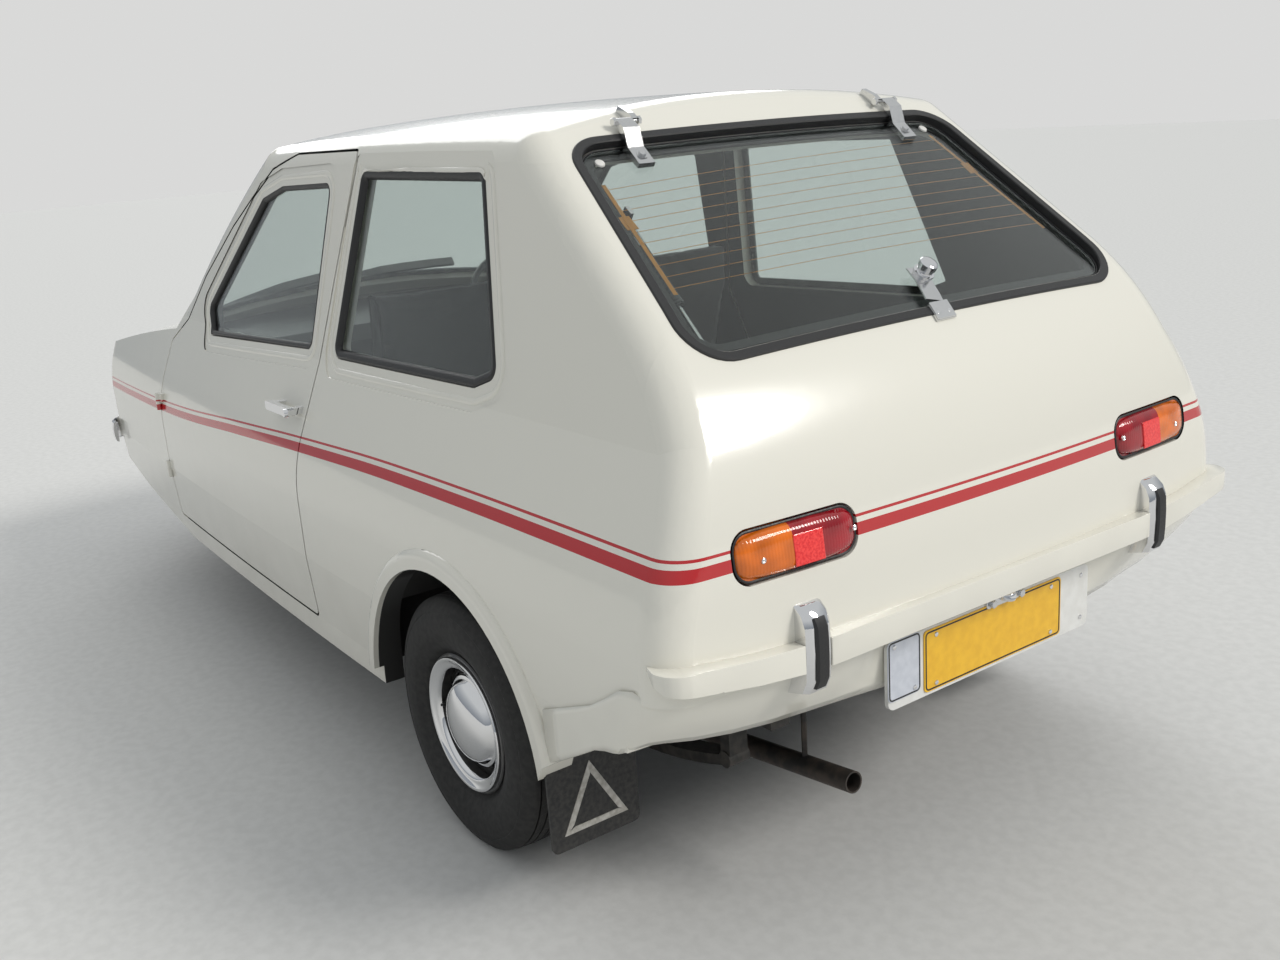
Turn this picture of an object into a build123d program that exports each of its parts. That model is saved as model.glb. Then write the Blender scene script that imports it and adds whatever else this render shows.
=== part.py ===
"""A small three wheeled hatchback: one steered wheel in front, two on a live axle behind.

Frame: millimetres, +X forward, +Y left, +Z up. The origin is on the ground, under the middle of
the car's length and width. Each piece is built in its place, at rest.
"""

import os
from math import cos, radians, sin, tan

from build123d import *

# Driving dimensions of the whole car
car_length = 3327
car_width = 1422
roof_height = 1360
wheelbase = 2159
rear_track = 1245
rear_axle_x = -940
front_axle_x = rear_axle_x + wheelbase
back_end = -car_length / 2
front_end = car_length / 2
shut_gap = 5
seat_gap = 0.3

# Wheels and tyres
tyre_radius = 250
tyre_width = 132
rim_radius = 127
rim_width = 96
axle_height = tyre_radius

# Walls: a door or a wall is drawn as thick as the whole real one
side_wall = 42
roof_wall = 28
tail_wall = 35
nose_wall = 32
bonnet_wall = 22
screen_wall = 30
glass_thick = 5

# Body side, as seen from behind: half widths and heights
side_bow = 34500
widest_x = -900
sill_height = 235
sill_half = 690
sill_high = 285
sill_round = 34
widest_half = 701
widest_low = 430
widest_high = 560
shoulder_radius = 372
shoulder_lean = 22.7
belt_half = 607
belt_height = 859
cant_half = 485
cant_height = 1400
belt_blend = 160

# Tail and hatch, as seen from the side
hatch_lean = 37
hatch_x = -1250
hatch_z = 1187
tail_radius = 505
tail_x = back_end + 22.5
tail_bow = 7690
tail_step_high = 545
tail_step_low = 485
tail_tuck = 25
valance_depth = 58

# Windscreen, bonnet, nose and roof, as seen from the side
screen_foot = (925, 790)
screen_middle = (560, 1085)
screen_head = (30, 1400)
screen_lean = 33
screen_bow = 3000
bonnet_back = (800, 862)
bonnet_middle = (1240, 800)
bonnet_front = (1750, 705)
bonnet_lean = 9.6
bonnet_bow = 4500
nose_x = front_end - 27.5
nose_foot = (nose_x - 92, 100)
nose_middle_z = 500
nose_top = (nose_x - 64, 960)
nose_bow = 2118
roof_front = (400, 1331)
roof_crest_x = -650
roof_back = (-1500, 1340)
roof_bow = 2800

# Rounded edges of the outer form
tail_corner = 60
nose_corner = 90
pillar_edge = 45
roof_edge = 70

# Underside of the body, as seen from the side
tail_foot = ((-1640, 425), (-1560, 430), (-1435, 400), (-1310, 326), (-1280, 306))
sill_back_x = -1240
sill_front_x = 700
nose_under = ((1200, 286), (1560, 352))

# Rear wheel arches
arch_x = -948
arch_z = 243
arch_radius = 318
lip_width = 38

# Tail lamps, let into pockets
tail_lamp_y = 442
tail_lamp_z = 709
tail_lamp_long = 228
tail_lamp_high = 74

# Floor, tubs and the box over the front wheel
floor_low = 250
floor_thick = 12
load_floor_low = 430
load_step_x = -560
cabin_front = 652
tub_inner_y = 520
tub_wall = 8
well_half = 215
well_reach = 275
well_top = 530
well_wall = 8
tunnel_half = 110
tunnel_top = 400
tunnel_wall = 10
tunnel_front = 380

# Doors and their windows, side view corners in order
hinge_x = 815
hinge_y = 660
door_foot = 285
door_outline = (
    (hinge_x, door_foot),
    (hinge_x, 792),
    (708, 857),
    (563, 983),
    (355, 1118),
    (205, 1198),
    (85, 1257),
    (-60, 1290),
    (-408, 1294),
    (-290, 859),
    (-290, door_foot),
)
door_window = ((-231, 874), (-274, 1229), (20, 1219), (150, 1190), (528, 905), (484, 835))
quarter_window = ((-432, 1253), (-942, 1251), (-1047, 911), (-972, 885), (-356, 870))
window_corner = 26
glass_inset = 12
swage_reach = 40
swage_depth = 3

# Hatch glass in its own plane: distances down the slope from the hinge pins
hatch_half_top = 434
hatch_half_foot = 497
hatch_top_s = 39
hatch_foot_s = 519
hatch_corner = 55
hatch_sink = 14
hatch_seal = 5.5
hatch_margin = 6
hatch_land = 14

# Hatch hinges: pin line just outside the roof's rear edge
pin_x = -1086
pin_out = 9
hinge_side_y = 305

# Gas strut
strut_top_s = 185
strut_top_d = -54
strut_foot_s = 490
strut_foot_d = -88
strut_y = 422
strut_tube_r = 11
strut_rod_r = 4
strut_tube_long = 192
strut_rod_long = 256

# The tail's arc runs tangent into the hatch slope, and the pin line lies outside that slope
slope = radians(hatch_lean)
tail_arc_x = tail_x + tail_radius
tail_arc_z = hatch_z - (tail_radius + (hatch_x - tail_arc_x) * sin(slope)) / cos(slope)
pin_z = hatch_z + (pin_x - hatch_x) * tan(slope)
pin_line = (pin_x - pin_out * sin(slope), pin_z + pin_out * cos(slope))
slope_plane = Plane(origin=(pin_line[0], 0, pin_line[1]), x_dir=(-cos(slope), 0, -sin(slope)),
                    z_dir=(-sin(slope), 0, cos(slope)))

# Forms that several pieces share


def revolved(profile, axis, half_angle):
    """The closed side view outline, turned both ways about a far axis to bow the surface."""
    with BuildPart() as form:
        with BuildSketch(Plane.XZ):
            with BuildLine():
                for piece in profile:
                    if len(piece) == 3:
                        ThreePointArc(*piece)
                    else:
                        Line(*piece)
            make_face()
        revolve(axis=axis, revolution_arc=2 * half_angle)
    return form.part.rotate(axis, -half_angle)


def upright(x):
    """A vertical axis at x on the centre plane."""
    return Axis((x, 0, 0), (0, 0, 1))


def leaning(x, z, lean, depth):
    """An axis in the centre plane, sloping down forwards by lean, depth below the point."""
    return Axis((x - depth * sin(radians(lean)), 0, z - depth * cos(radians(lean))),
                (cos(radians(lean)), 0, -sin(radians(lean))))


def side_form(inset):
    """Everything inboard of the left side skin, moved in by inset."""
    axis = Axis((widest_x, widest_half - side_bow, 0), (0, 0, 1))
    high = (widest_half - inset, widest_high)
    turn = radians(shoulder_lean)
    radius = shoulder_radius - inset
    start = (high[0] - radius * (1 - cos(turn)), high[1] + radius * sin(turn))
    middle = (high[0] - radius * (1 - cos(turn / 2)), high[1] + radius * sin(turn / 2))
    foot = sill_height if inset == 0 else 100
    belt = Vertex(widest_x, belt_half - inset, belt_height)
    sill = Vertex(widest_x, sill_half, sill_height)
    with BuildPart() as form:
        with BuildSketch(Plane.YZ.offset(widest_x)) as profile:
            with BuildLine():
                Polyline((-300, foot), (sill_half - inset, foot), (sill_half - inset, sill_high),
                         (widest_half - inset, widest_low), high)
                ThreePointArc(high, middle, start)
                Polyline(start, (belt_half - inset, belt_height), (cant_half - inset, cant_height),
                         (-300, cant_height), (-300, foot))
            make_face()
            fillet([v for v in profile.vertices() if v.distance_to(belt) < 1], belt_blend)
            if inset == 0:
                fillet([v for v in profile.vertices() if v.distance_to(sill) < 1], sill_round)
        revolve(axis=axis, revolution_arc=10)
    return form.part.rotate(axis, -5)


def tail_form(inset):
    """Everything ahead of the tail and the hatch slope, moved in by inset."""
    centre = (tail_arc_x, tail_arc_z)
    radius = tail_radius - inset
    start = (centre[0] - radius * sin(slope), centre[1] + radius * cos(slope))
    halfway = radians(90 + (hatch_lean + 90) / 2)
    middle = (centre[0] + radius * cos(halfway), centre[1] + radius * sin(halfway))
    end = (centre[0] - radius, centre[1])
    top = (start[0] + (1420 - start[1]) / tan(slope), 1420)
    step = 0 if inset == 0 else valance_depth
    high = (tail_x + inset, tail_step_high)
    low = (tail_x + inset + step, tail_step_low)
    foot = (tail_x + inset + step + tail_tuck, 100)
    return revolved((
        (end, high),
        (high, low),
        (low, foot),
        (foot, (2000, 100)),
        ((2000, 100), (2000, 1420)),
        ((2000, 1420), top),
        (top, start),
        (start, middle, end),
    ), upright(tail_x + tail_bow), 13)


def slope_form(inset):
    """Everything below the hatch slope carried on straight past the tail's curve."""
    foot = (hatch_x + (900 - hatch_z) / tan(slope) + inset / sin(slope), 900)
    top = (hatch_x + (1420 - hatch_z) / tan(slope) + inset / sin(slope), 1420)
    return revolved((
        (foot, top),
        (top, (0, 1420)),
        ((0, 1420), (0, 900)),
        ((0, 900), foot),
    ), upright(tail_x + tail_bow), 8)


def screen_form(inset):
    """Everything behind the windscreen, moved in by inset."""
    foot = (screen_foot[0] - inset / sin(radians(screen_lean)), screen_foot[1])
    middle = (screen_middle[0] - inset * sin(radians(screen_lean)),
              screen_middle[1] - inset * cos(radians(screen_lean)))
    head = (screen_head[0] - inset / sin(radians(screen_lean)), screen_head[1])
    return revolved((
        (foot, middle, head),
        (head, (-1900, screen_head[1])),
        ((-1900, screen_head[1]), (-1900, 100)),
        ((-1900, 100), (foot[0], 100)),
        ((foot[0], 100), foot),
    ), leaning(500, 1080, screen_lean, screen_bow), 35)


def bonnet_form(inset):
    """Everything below the bonnet, moved down by inset."""
    back = (bonnet_back[0], bonnet_back[1] - inset)
    middle = (bonnet_middle[0], bonnet_middle[1] - inset)
    front = (bonnet_front[0], bonnet_front[1] - inset)
    return revolved((
        (back, middle, front),
        (front, (front[0], 100)),
        ((front[0], 100), (-200, 100)),
        ((-200, 100), (-200, back[1])),
        ((-200, back[1]), back),
    ), leaning(1200, 790, bonnet_lean, bonnet_bow), 18)


def nose_form(inset):
    """Everything behind the nose panel, moved in by inset."""
    foot = (nose_foot[0] - inset, nose_foot[1])
    top = (nose_top[0] - inset, nose_top[1])
    with BuildPart() as form:
        add(revolved((
            (foot, (nose_x - inset, nose_middle_z), top),
            (top, (0, top[1])),
            ((0, top[1]), (0, foot[1])),
            ((0, foot[1]), foot),
        ), upright(nose_x - nose_bow), 70))
        with Locations((900, 0, 100)):
            Box(2800, 1600, 1320, align=(Align.MAX, Align.CENTER, Align.MIN))
    return form.part


def roof_form(inset):
    """Everything below the roof, moved down by inset."""
    front = (roof_front[0], roof_front[1] - inset)
    crest = (roof_crest_x, roof_height - inset)
    back = (roof_back[0], roof_back[1] - inset)
    axis = Axis((0, 0, roof_height - roof_bow), (1, 0, 0))
    return revolved((
        (front, crest, back),
        (back, (-2000, back[1])),
        ((-2000, back[1]), (-2000, -1200)),
        ((-2000, -1200), (2000, -1200)),
        ((2000, -1200), (2000, front[1])),
        ((2000, front[1]), front),
    ), axis, 45)


def on_outline(shape, x_low, x_high, y_low, y_high, z_low, z_high):
    """The edges of a shape whose boxes lie between these limits."""
    found = []
    for edge in shape.edges():
        box = edge.bounding_box()
        if (box.min.X > x_low and box.max.X < x_high and box.min.Y > y_low and 1 < box.max.Y < y_high
                and box.min.Z > z_low and box.max.Z < z_high):
            found.append(edge)
    return found


def front_form(screen, bonnet):
    """Everything behind the windscreen or below the bonnet."""
    with BuildPart() as form:
        add(screen_form(screen))
        add(bonnet_form(bonnet))
    return form.part


def body_form(side, tail, nose, screen, bonnet, roof, rounded):
    """The whole car's outer form, with each surface moved in by its own wall."""
    with BuildPart() as form:
        add(side_form(side))
        add(tail_form(tail), mode=Mode.INTERSECT)
        add(nose_form(nose), mode=Mode.INTERSECT)
        if rounded:
            fillet(on_outline(form, -1800, -900, 300, 800, 50, 1430), tail_corner)
            fillet(on_outline(form, 1300, 1800, 300, 800, 50, 1430), nose_corner)
        add(front_form(screen, bonnet), mode=Mode.INTERSECT)
        add(roof_form(roof), mode=Mode.INTERSECT)
        with Locations((0, 0, 700)):
            Box(2 * car_length, 1000, 1600, align=(Align.CENTER, Align.MIN, Align.CENTER), mode=Mode.INTERSECT)
        if rounded:
            fillet(on_outline(form, 100, 840, 300, 800, 850, 1430), pillar_edge)
            fillet(on_outline(form, -1200, 300, -1, 800, 1240, 1400), roof_edge)
        mirror(about=Plane.XZ)
    return form.part


def side_prism(outline, grow, corner, y_low, y_high):
    """A side view outline, grown and rounded, carried across from y_low to y_high."""
    with BuildPart() as prism:
        with BuildSketch(Plane.XZ.offset(-y_low)) as flat:
            Polygon(*outline, align=None)
            if grow:
                offset(amount=grow, kind=Kind.INTERSECTION)
            if corner:
                fillet(flat.vertices(), corner)
        extrude(amount=y_low - y_high)
    return prism.part


def slope_prism(grow, corner, low, high):
    """The hatch outline, grown and rounded, from low to high above the hinge pins' plane."""
    outline = (
        (hatch_top_s, -hatch_half_top),
        (hatch_foot_s, -hatch_half_foot),
        (hatch_foot_s, hatch_half_foot),
        (hatch_top_s, hatch_half_top),
    )
    with BuildPart() as prism:
        with BuildSketch(slope_plane.offset(low)) as flat:
            Polygon(*outline, align=None)
            if grow:
                offset(amount=grow, kind=Kind.INTERSECTION)
            fillet(flat.vertices(), corner)
        extrude(amount=high - low)
    return prism.part


def block(x_low, x_high, y_low, y_high, z_low, z_high):
    """A plain box between these limits."""
    with BuildPart() as solid:
        with Locations(((x_low + x_high) / 2, (y_low + y_high) / 2, (z_low + z_high) / 2)):
            Box(x_high - x_low, y_high - y_low, z_high - z_low)
    return solid.part


pieces = {}


def keep(node, solid):
    """Name a finished piece; they are all written at the end."""
    solid.label = node
    pieces[node] = solid


# Body shell: the outer form less the inner one, then split where its panels meet
outer = body_form(0, 0, 0, 0, 0, 0, True)
inner = body_form(side_wall, tail_wall, nose_wall, screen_wall, bonnet_wall, roof_wall, False)
cabin_side = side_form(side_wall + 14)

with BuildPart() as underside:
    with BuildSketch(Plane.XZ.offset(-900)):
        Polygon((back_end - 40, 90), (back_end - 40, tail_foot[0][1]), *tail_foot, (sill_back_x, sill_height),
                (sill_front_x, sill_height), *nose_under, (front_end + 40, nose_under[1][1]), (front_end + 40, 90),
                align=None)
    extrude(amount=1800)

with BuildPart() as valance_cut:
    with BuildSketch(Plane.XY.offset(90)):
        with BuildLine():
            ThreePointArc((-1500, 760), (tail_x + valance_depth, 0), (-1500, -760))
            Polyline((-1500, -760), (-1800, -760), (-1800, 760), (-1500, 760))
        make_face()
    extrude(amount=tail_step_low - 90)

with BuildPart() as arches:
    for side in (1, -1):
        with BuildSketch(Plane.XZ.offset(-side * 460)):
            with Locations((arch_x, arch_z)):
                Circle(arch_radius)
        extrude(amount=-side * 300)

with BuildPart() as lips:
    for side in (1, -1):
        with BuildSketch(Plane.XZ.offset(-side * 665)):
            with Locations((arch_x, arch_z)):
                Circle(arch_radius + lip_width)
                Circle(arch_radius, mode=Mode.SUBTRACT)
            with Locations((arch_x, sill_height + 40)):
                Rectangle(900, 500, align=(Align.CENTER, Align.MAX), mode=Mode.SUBTRACT)
        extrude(amount=-side * (car_width / 2 - 665))
    fillet(lips.edges().filter_by(GeomType.CIRCLE).filter_by(
        lambda edge: abs(edge.center().Y) > car_width / 2 - 1 and edge.radius > arch_radius + 1), 18)

with BuildPart() as lamp_pockets:
    for side in (1, -1):
        with BuildSketch(Plane.YZ.offset(-1700)) as flat:
            with Locations((side * tail_lamp_y, tail_lamp_z)):
                Rectangle(tail_lamp_long + 10, tail_lamp_high + 10)
            fillet(flat.vertices(), 33)
        extrude(amount=200)
    add(tail_form(30), mode=Mode.SUBTRACT)

with BuildPart() as screen_hole:
    plane = Plane(origin=(500, 0, 1085), x_dir=(cos(radians(screen_lean)), 0, -sin(radians(screen_lean))),
                  z_dir=(sin(radians(screen_lean)), 0, cos(radians(screen_lean))))
    with BuildSketch(plane.offset(-115)) as flat:
        Polygon((355, -548), (355, 548), (-335, 425), (-335, -425), align=None)
        fillet(flat.vertices(), 55)
    extrude(amount=260)

with BuildPart() as shell:
    add(outer)
    add(lips.part)
    add(inner, mode=Mode.SUBTRACT)
    add(underside.part, mode=Mode.SUBTRACT)
    add(valance_cut.part, mode=Mode.SUBTRACT)
    add(arches.part, mode=Mode.SUBTRACT)
    add(lamp_pockets.part, mode=Mode.SUBTRACT)
    add(screen_hole.part, mode=Mode.SUBTRACT)

# Cuts that free the doors, the bonnet and the hatch
door_way = side_prism(door_outline, shut_gap / 2, 18, 250, 800)
door_space = side_prism(door_outline, -shut_gap / 2, 16, 250, 800)
door_light = side_prism(door_window, 0, window_corner, 250, 800)
quarter_light = side_prism(quarter_window, 0, window_corner, 250, 800)

with BuildPart() as swage:
    add(side_prism(door_window, swage_reach, 50, 250, 800))
    add(side_prism(quarter_window, swage_reach, 50, 250, 800))
    add(side_form(swage_depth), mode=Mode.SUBTRACT)

bonnet_outline = ((905, -470), (905, 470), (1540, 420), (1540, -420))
with BuildPart() as bonnet_way:
    with BuildSketch(Plane.XY.offset(640)) as flat:
        Polygon(*bonnet_outline, align=None)
        offset(amount=shut_gap / 2, kind=Kind.INTERSECTION)
        fillet(flat.vertices(), 40)
    extrude(amount=300)
bonnet_lid = ((905, -470), (905, 470), (1536, 420), (1536, -420))
with BuildPart() as bonnet_space:
    with BuildSketch(Plane.XY.offset(640)) as flat:
        Polygon(*bonnet_lid, align=None)
        offset(amount=-shut_gap / 2, kind=Kind.INTERSECTION)
        fillet(flat.vertices(), 38)
    extrude(amount=300)

with BuildPart() as hatch_way:
    add(slope_prism(hatch_margin, hatch_corner + hatch_margin, -90, 60))
    add(slope_form(hatch_sink + glass_thick + hatch_seal), mode=Mode.SUBTRACT)
    add(slope_prism(-hatch_land, hatch_corner - hatch_land / 2, -160, 60))

# Door hinges: knuckles on a pin just outside the skin, one pair low and one pair high
knuckle_r = 8
knuckle_long = 24
door_pin_r = 3.5
door_hinge_heights = (400, 600)


def hinge_leaf(z, leaf_x, bored):
    """A knuckle with its leaf reaching back into the panel at leaf_x."""
    with BuildPart() as leaf:
        with BuildSketch(Plane.XY.offset(z)):
            with Locations((hinge_x, hinge_y)):
                Circle(knuckle_r)
            with Locations(((hinge_x + leaf_x) / 2, hinge_y - 8)):
                Rectangle(abs(leaf_x - hinge_x), 16)
            if bored:
                with Locations((hinge_x, hinge_y)):
                    Circle(door_pin_r + 0.05, mode=Mode.SUBTRACT)
        extrude(amount=knuckle_long)
        if not bored:
            with BuildSketch(Plane.XY.offset(z)):
                with Locations((hinge_x, hinge_y)):
                    Circle(door_pin_r)
            extrude(amount=2 * knuckle_long + seat_gap)
    return leaf.part


with BuildPart() as hinge_room:
    for z in door_hinge_heights:
        with BuildSketch(Plane.XY.offset(z - 1)):
            with Locations((hinge_x, hinge_y)):
                Circle(knuckle_r + 2)
        extrude(amount=2 * knuckle_long + seat_gap + 2)

# Left door
with BuildPart() as door_left:
    add(shell.part)
    add(door_space, mode=Mode.INTERSECT)
    add(door_light, mode=Mode.SUBTRACT)
    add(swage.part, mode=Mode.SUBTRACT)
    add(hinge_room.part, mode=Mode.SUBTRACT)
    for z in door_hinge_heights:
        add(hinge_leaf(z + knuckle_long + seat_gap, hinge_x - 30, True))
keep("door_left", door_left.part)

with BuildPart() as door_window_left:
    add(side_form(glass_inset))
    add(side_form(glass_inset + glass_thick), mode=Mode.SUBTRACT)
    add(door_light, mode=Mode.INTERSECT)
keep("door_window_left", door_window_left.part)

# Door handle: a bar on two feet
handle_x = -202
handle_z = 752
handle_long = 140
with BuildPart() as door_handle_left:
    with BuildSketch(Plane.XZ.offset(-600)):
        with Locations((handle_x - 52, handle_z), (handle_x + 52, handle_z)):
            Rectangle(22, 14)
    extrude(amount=-74)
    with BuildSketch(Plane.XZ.offset(-668)):
        with Locations((handle_x, handle_z)):
            Rectangle(handle_long, 20)
    extrude(amount=-14)
    fillet(door_handle_left.edges().filter_by(Axis.Y).group_by(Axis.Y)[-1], 6)
    add(side_form(0), mode=Mode.SUBTRACT)
keep("door_handle_left", door_handle_left.part)

# Left body side, with the sill below the door and the quarter panel behind it
nose_plane = 840
tail_plane = -1465
roof_plane = 1262
scuttle_box = block(740, 1000, -500, 500, 780, 1000)
with BuildPart() as body_side_left:
    add(shell.part)
    add(block(tail_plane, nose_plane, 0, 800, 200, roof_plane), mode=Mode.INTERSECT)
    add(scuttle_box, mode=Mode.SUBTRACT)
    add(door_way, mode=Mode.SUBTRACT)
    add(quarter_light, mode=Mode.SUBTRACT)
    add(swage.part, mode=Mode.SUBTRACT)
    add(hatch_way.part, mode=Mode.SUBTRACT)
    add(hinge_room.part, mode=Mode.SUBTRACT)
    for z in door_hinge_heights:
        add(hinge_leaf(z, hinge_x + 24, False))
keep("body_side_left", body_side_left.part)

# Right-hand twins
twins = (
    ("door_right", door_left),
    ("door_window_right", door_window_left),
    ("door_handle_right", door_handle_left),
    ("body_side_right", body_side_left),
)
for node, twin in twins:
    with BuildPart() as right_hand:
        add(twin.part)
        mirror(about=Plane.XZ, mode=Mode.REPLACE)
    keep(node, right_hand.part)

# Quarter windows, one each side
with BuildPart() as quarter_windows:
    add(side_form(glass_inset))
    add(side_form(glass_inset + glass_thick), mode=Mode.SUBTRACT)
    add(quarter_light, mode=Mode.INTERSECT)
    mirror(about=Plane.XZ)
keep("quarter_windows", quarter_windows.part)

# Roof, with the rails over the doors, the screen and the hatch
with BuildPart() as body_roof:
    add(shell.part)
    add(block(-1300, 500, -700, 700, roof_plane, 1400), mode=Mode.INTERSECT)
    add(door_way, mode=Mode.SUBTRACT)
    add(door_way.mirror(Plane.XZ), mode=Mode.SUBTRACT)
    add(swage.part, mode=Mode.SUBTRACT)
    add(swage.part.mirror(Plane.XZ), mode=Mode.SUBTRACT)
    add(hatch_way.part, mode=Mode.SUBTRACT)
keep("body_roof", body_roof.part)

# Tail, with its lamp pockets and the valance under the bumper
with BuildPart() as body_tail:
    add(shell.part)
    add(block(-1700, tail_plane, -800, 800, 200, roof_plane), mode=Mode.INTERSECT)
    add(hatch_way.part, mode=Mode.SUBTRACT)
keep("body_tail", body_tail.part)

# Bonnet hinges: knuckles along the rear edge, on pins just above the skin
bonnet_pin = (900, 851)
bonnet_pin_r = 3
bonnet_hinge_y = 330
bonnet_leaf_outline = ((900, 845), (900, 857), (914, 857), (945, 846), (945, 826), (909, 832), (909, 845))
scuttle_leaf_outline = ((900, 845), (900, 857), (886, 857), (860, 852), (860, 838), (901, 832), (901, 845))


def bonnet_leaf(side, y, wide, outline, bored):
    """A knuckle and its leaf, wide across, starting at y on one side of the car."""
    with BuildPart() as leaf:
        with BuildSketch(Plane.XZ.offset(-side * y)):
            Polygon(*outline, align=None)
            with Locations(bonnet_pin):
                Circle(6)
                if bored:
                    Circle(bonnet_pin_r + 0.05, mode=Mode.SUBTRACT)
        extrude(amount=-side * wide)
        if not bored:
            with BuildSketch(Plane.XZ.offset(-side * y)):
                with Locations(bonnet_pin):
                    Circle(bonnet_pin_r)
            extrude(amount=-side * (2 * wide + seat_gap))
    return leaf.part


# Nose: wings, front panel and scuttle, with holes for grille and lamps
lamp_y = 455
lamp_z = 600
lamp_r = 90
grille_half = 310
grille_z = 600
grille_high = 96
with BuildPart() as nose_room:
    add(block(nose_plane, 1700, -800, 800, 200, 1000))
    add(scuttle_box)

with BuildPart() as body_nose:
    add(shell.part)
    add(nose_room.part, mode=Mode.INTERSECT)
    add(bonnet_way.part, mode=Mode.SUBTRACT)
    with BuildSketch(Plane.YZ.offset(nose_x - 236)) as flat:
        with Locations((0, grille_z)):
            Rectangle(2 * grille_half, grille_high)
        fillet(flat.vertices(), 20)
        with Locations((-lamp_y, lamp_z), (lamp_y, lamp_z)):
            Circle(lamp_r + seat_gap)
    extrude(amount=400, mode=Mode.SUBTRACT)
    for side in (1, -1):
        add(bonnet_leaf(side, bonnet_hinge_y - 12, 12, scuttle_leaf_outline, False))
keep("body_nose", body_nose.part)

# Bonnet, hinged along its rear edge
with BuildPart() as bonnet:
    add(shell.part)
    add(bonnet_space.part, mode=Mode.INTERSECT)
    for side in (1, -1):
        add(bonnet_leaf(side, bonnet_hinge_y + seat_gap, 12, bonnet_leaf_outline, True))
keep("bonnet", bonnet.part)

# Windscreen, flush in its opening
with BuildPart() as windscreen:
    add(screen_form(glass_inset))
    add(screen_form(glass_inset + glass_thick), mode=Mode.SUBTRACT)
    add(screen_hole.part, mode=Mode.INTERSECT)
keep("windscreen", windscreen.part)

# Hatch glass
with BuildPart() as hatch_glass:
    add(slope_prism(0, hatch_corner, -90, 60))
    add(slope_form(hatch_sink), mode=Mode.INTERSECT)
    add(slope_form(hatch_sink + glass_thick), mode=Mode.SUBTRACT)
keep("hatch_glass", hatch_glass.part)

def rod(start, end, radius):
    """A round bar from one point to another."""
    reach = Vector(*end) - Vector(*start)
    with BuildPart() as bar:
        with BuildSketch(Plane(origin=start, z_dir=reach)):
            Circle(radius)
        extrude(amount=reach.length)
    return bar.part


def bent_pipe(points, bend, radius):
    """A round pipe, drawn solid, along a line with rounded corners."""
    with BuildPart() as pipe:
        with BuildLine() as path:
            FilletPolyline(*points, radius=bend)
        with BuildSketch(Plane(origin=path.wires()[0] @ 0, z_dir=path.wires()[0] % 0)):
            Circle(radius)
        sweep()
    return pipe.part


def slope_side(y):
    """The plane at y whose local x runs down the hatch slope and whose local y points out of it."""
    return Plane(origin=(pin_line[0], y, pin_line[1]), x_dir=(-cos(slope), 0, -sin(slope)),
                 z_dir=(0, 1, 0))


def slope_point(s, d, y):
    """The place at s down the hatch slope, d out of it and y across."""
    return (pin_line[0] - s * cos(slope) - d * sin(slope), y, pin_line[1] - s * sin(slope) + d * cos(slope))


def slope_bar(outline, y_low, y_high):
    """An outline in hatch slope coordinates, carried across from y_low to y_high."""
    with BuildPart() as bar:
        with BuildSketch(slope_side(y_low)):
            Polygon(*outline, align=None)
        extrude(amount=y_high - y_low)
    return bar.part


# Hatch hinges: straps that clamp the glass, on pins carried by leaves on the roof
strap_wide = 34
hatch_pin_r = 3
strap_outline = ((-1, -4.5), (-1, 5.4), (24, 5.8), (52, -15), (92, -18), (92, -40), (48, -40), (37, -11), (10, -5))
roof_leaf_outline = ((1, -4), (1, 6), (-14, 6), (-46, -2), (-46, -24), (-8, -24), (-8, -6))
knob_s = 455
knob_y = -28
eye_r = 8
eye_wide = 10
eye_pin_r = 4
glass_under = hatch_sink + glass_thick
with BuildPart() as hatch_fittings:
    for low in (hinge_side_y, -hinge_side_y - strap_wide):
        with BuildSketch(slope_side(low)):
            Polygon(*strap_outline, align=None)
            Circle(6)
            Circle(hatch_pin_r + 0.05, mode=Mode.SUBTRACT)
        extrude(amount=strap_wide)
    with BuildSketch(slope_plane.offset(-45)):
        with Locations((knob_s, -knob_y)):
            Circle(14)
    extrude(amount=46)
    add(slope_form(hatch_sink), mode=Mode.SUBTRACT)
with BuildPart() as strut_mount:
    add(slope_bar(((strut_top_s - 10, -20), (strut_top_s + 10, -20), (strut_top_s + 10, strut_top_d - 8),
                   (strut_top_s - 10, strut_top_d - 8)), strut_y - eye_wide / 2 - 7, strut_y - eye_wide / 2 - 1))
    add(rod(slope_point(strut_top_s, strut_top_d, strut_y - eye_wide / 2 - 7),
            slope_point(strut_top_s, strut_top_d, strut_y + eye_wide / 2), eye_pin_r))
    add(slope_form(glass_under), mode=Mode.INTERSECT)
keep("hatch_fittings", Compound([hatch_fittings.part, strut_mount.part]))

with BuildPart() as roof_leaves:
    for low in (hinge_side_y - 12 - seat_gap, -hinge_side_y + seat_gap):
        add(slope_bar(roof_leaf_outline, low, low + 12))
    for side in (1, -1):
        pin_from = side * (hinge_side_y - 12)
        pin_to = side * (hinge_side_y + strap_wide)
        add(rod((pin_line[0], pin_from, pin_line[1]), (pin_line[0], pin_to, pin_line[1]), hatch_pin_r))
    add(outer, mode=Mode.SUBTRACT)
with BuildPart() as latch_bracket:
    add(slope_bar(((524, -40), (524, -8), (556, -15), (556, -40)), -22, 22))
    add(outer, mode=Mode.SUBTRACT)
with BuildPart() as strut_foot:
    add(slope_bar(((strut_foot_s - 10, strut_foot_d - 10), (strut_foot_s + 70, strut_foot_d - 10),
                   (strut_foot_s + 70, -30), (strut_foot_s + 26, -30), (strut_foot_s - 10, strut_foot_d + 10)),
                  strut_y + 9, strut_y + 14))
    add(inner, mode=Mode.INTERSECT)
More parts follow.
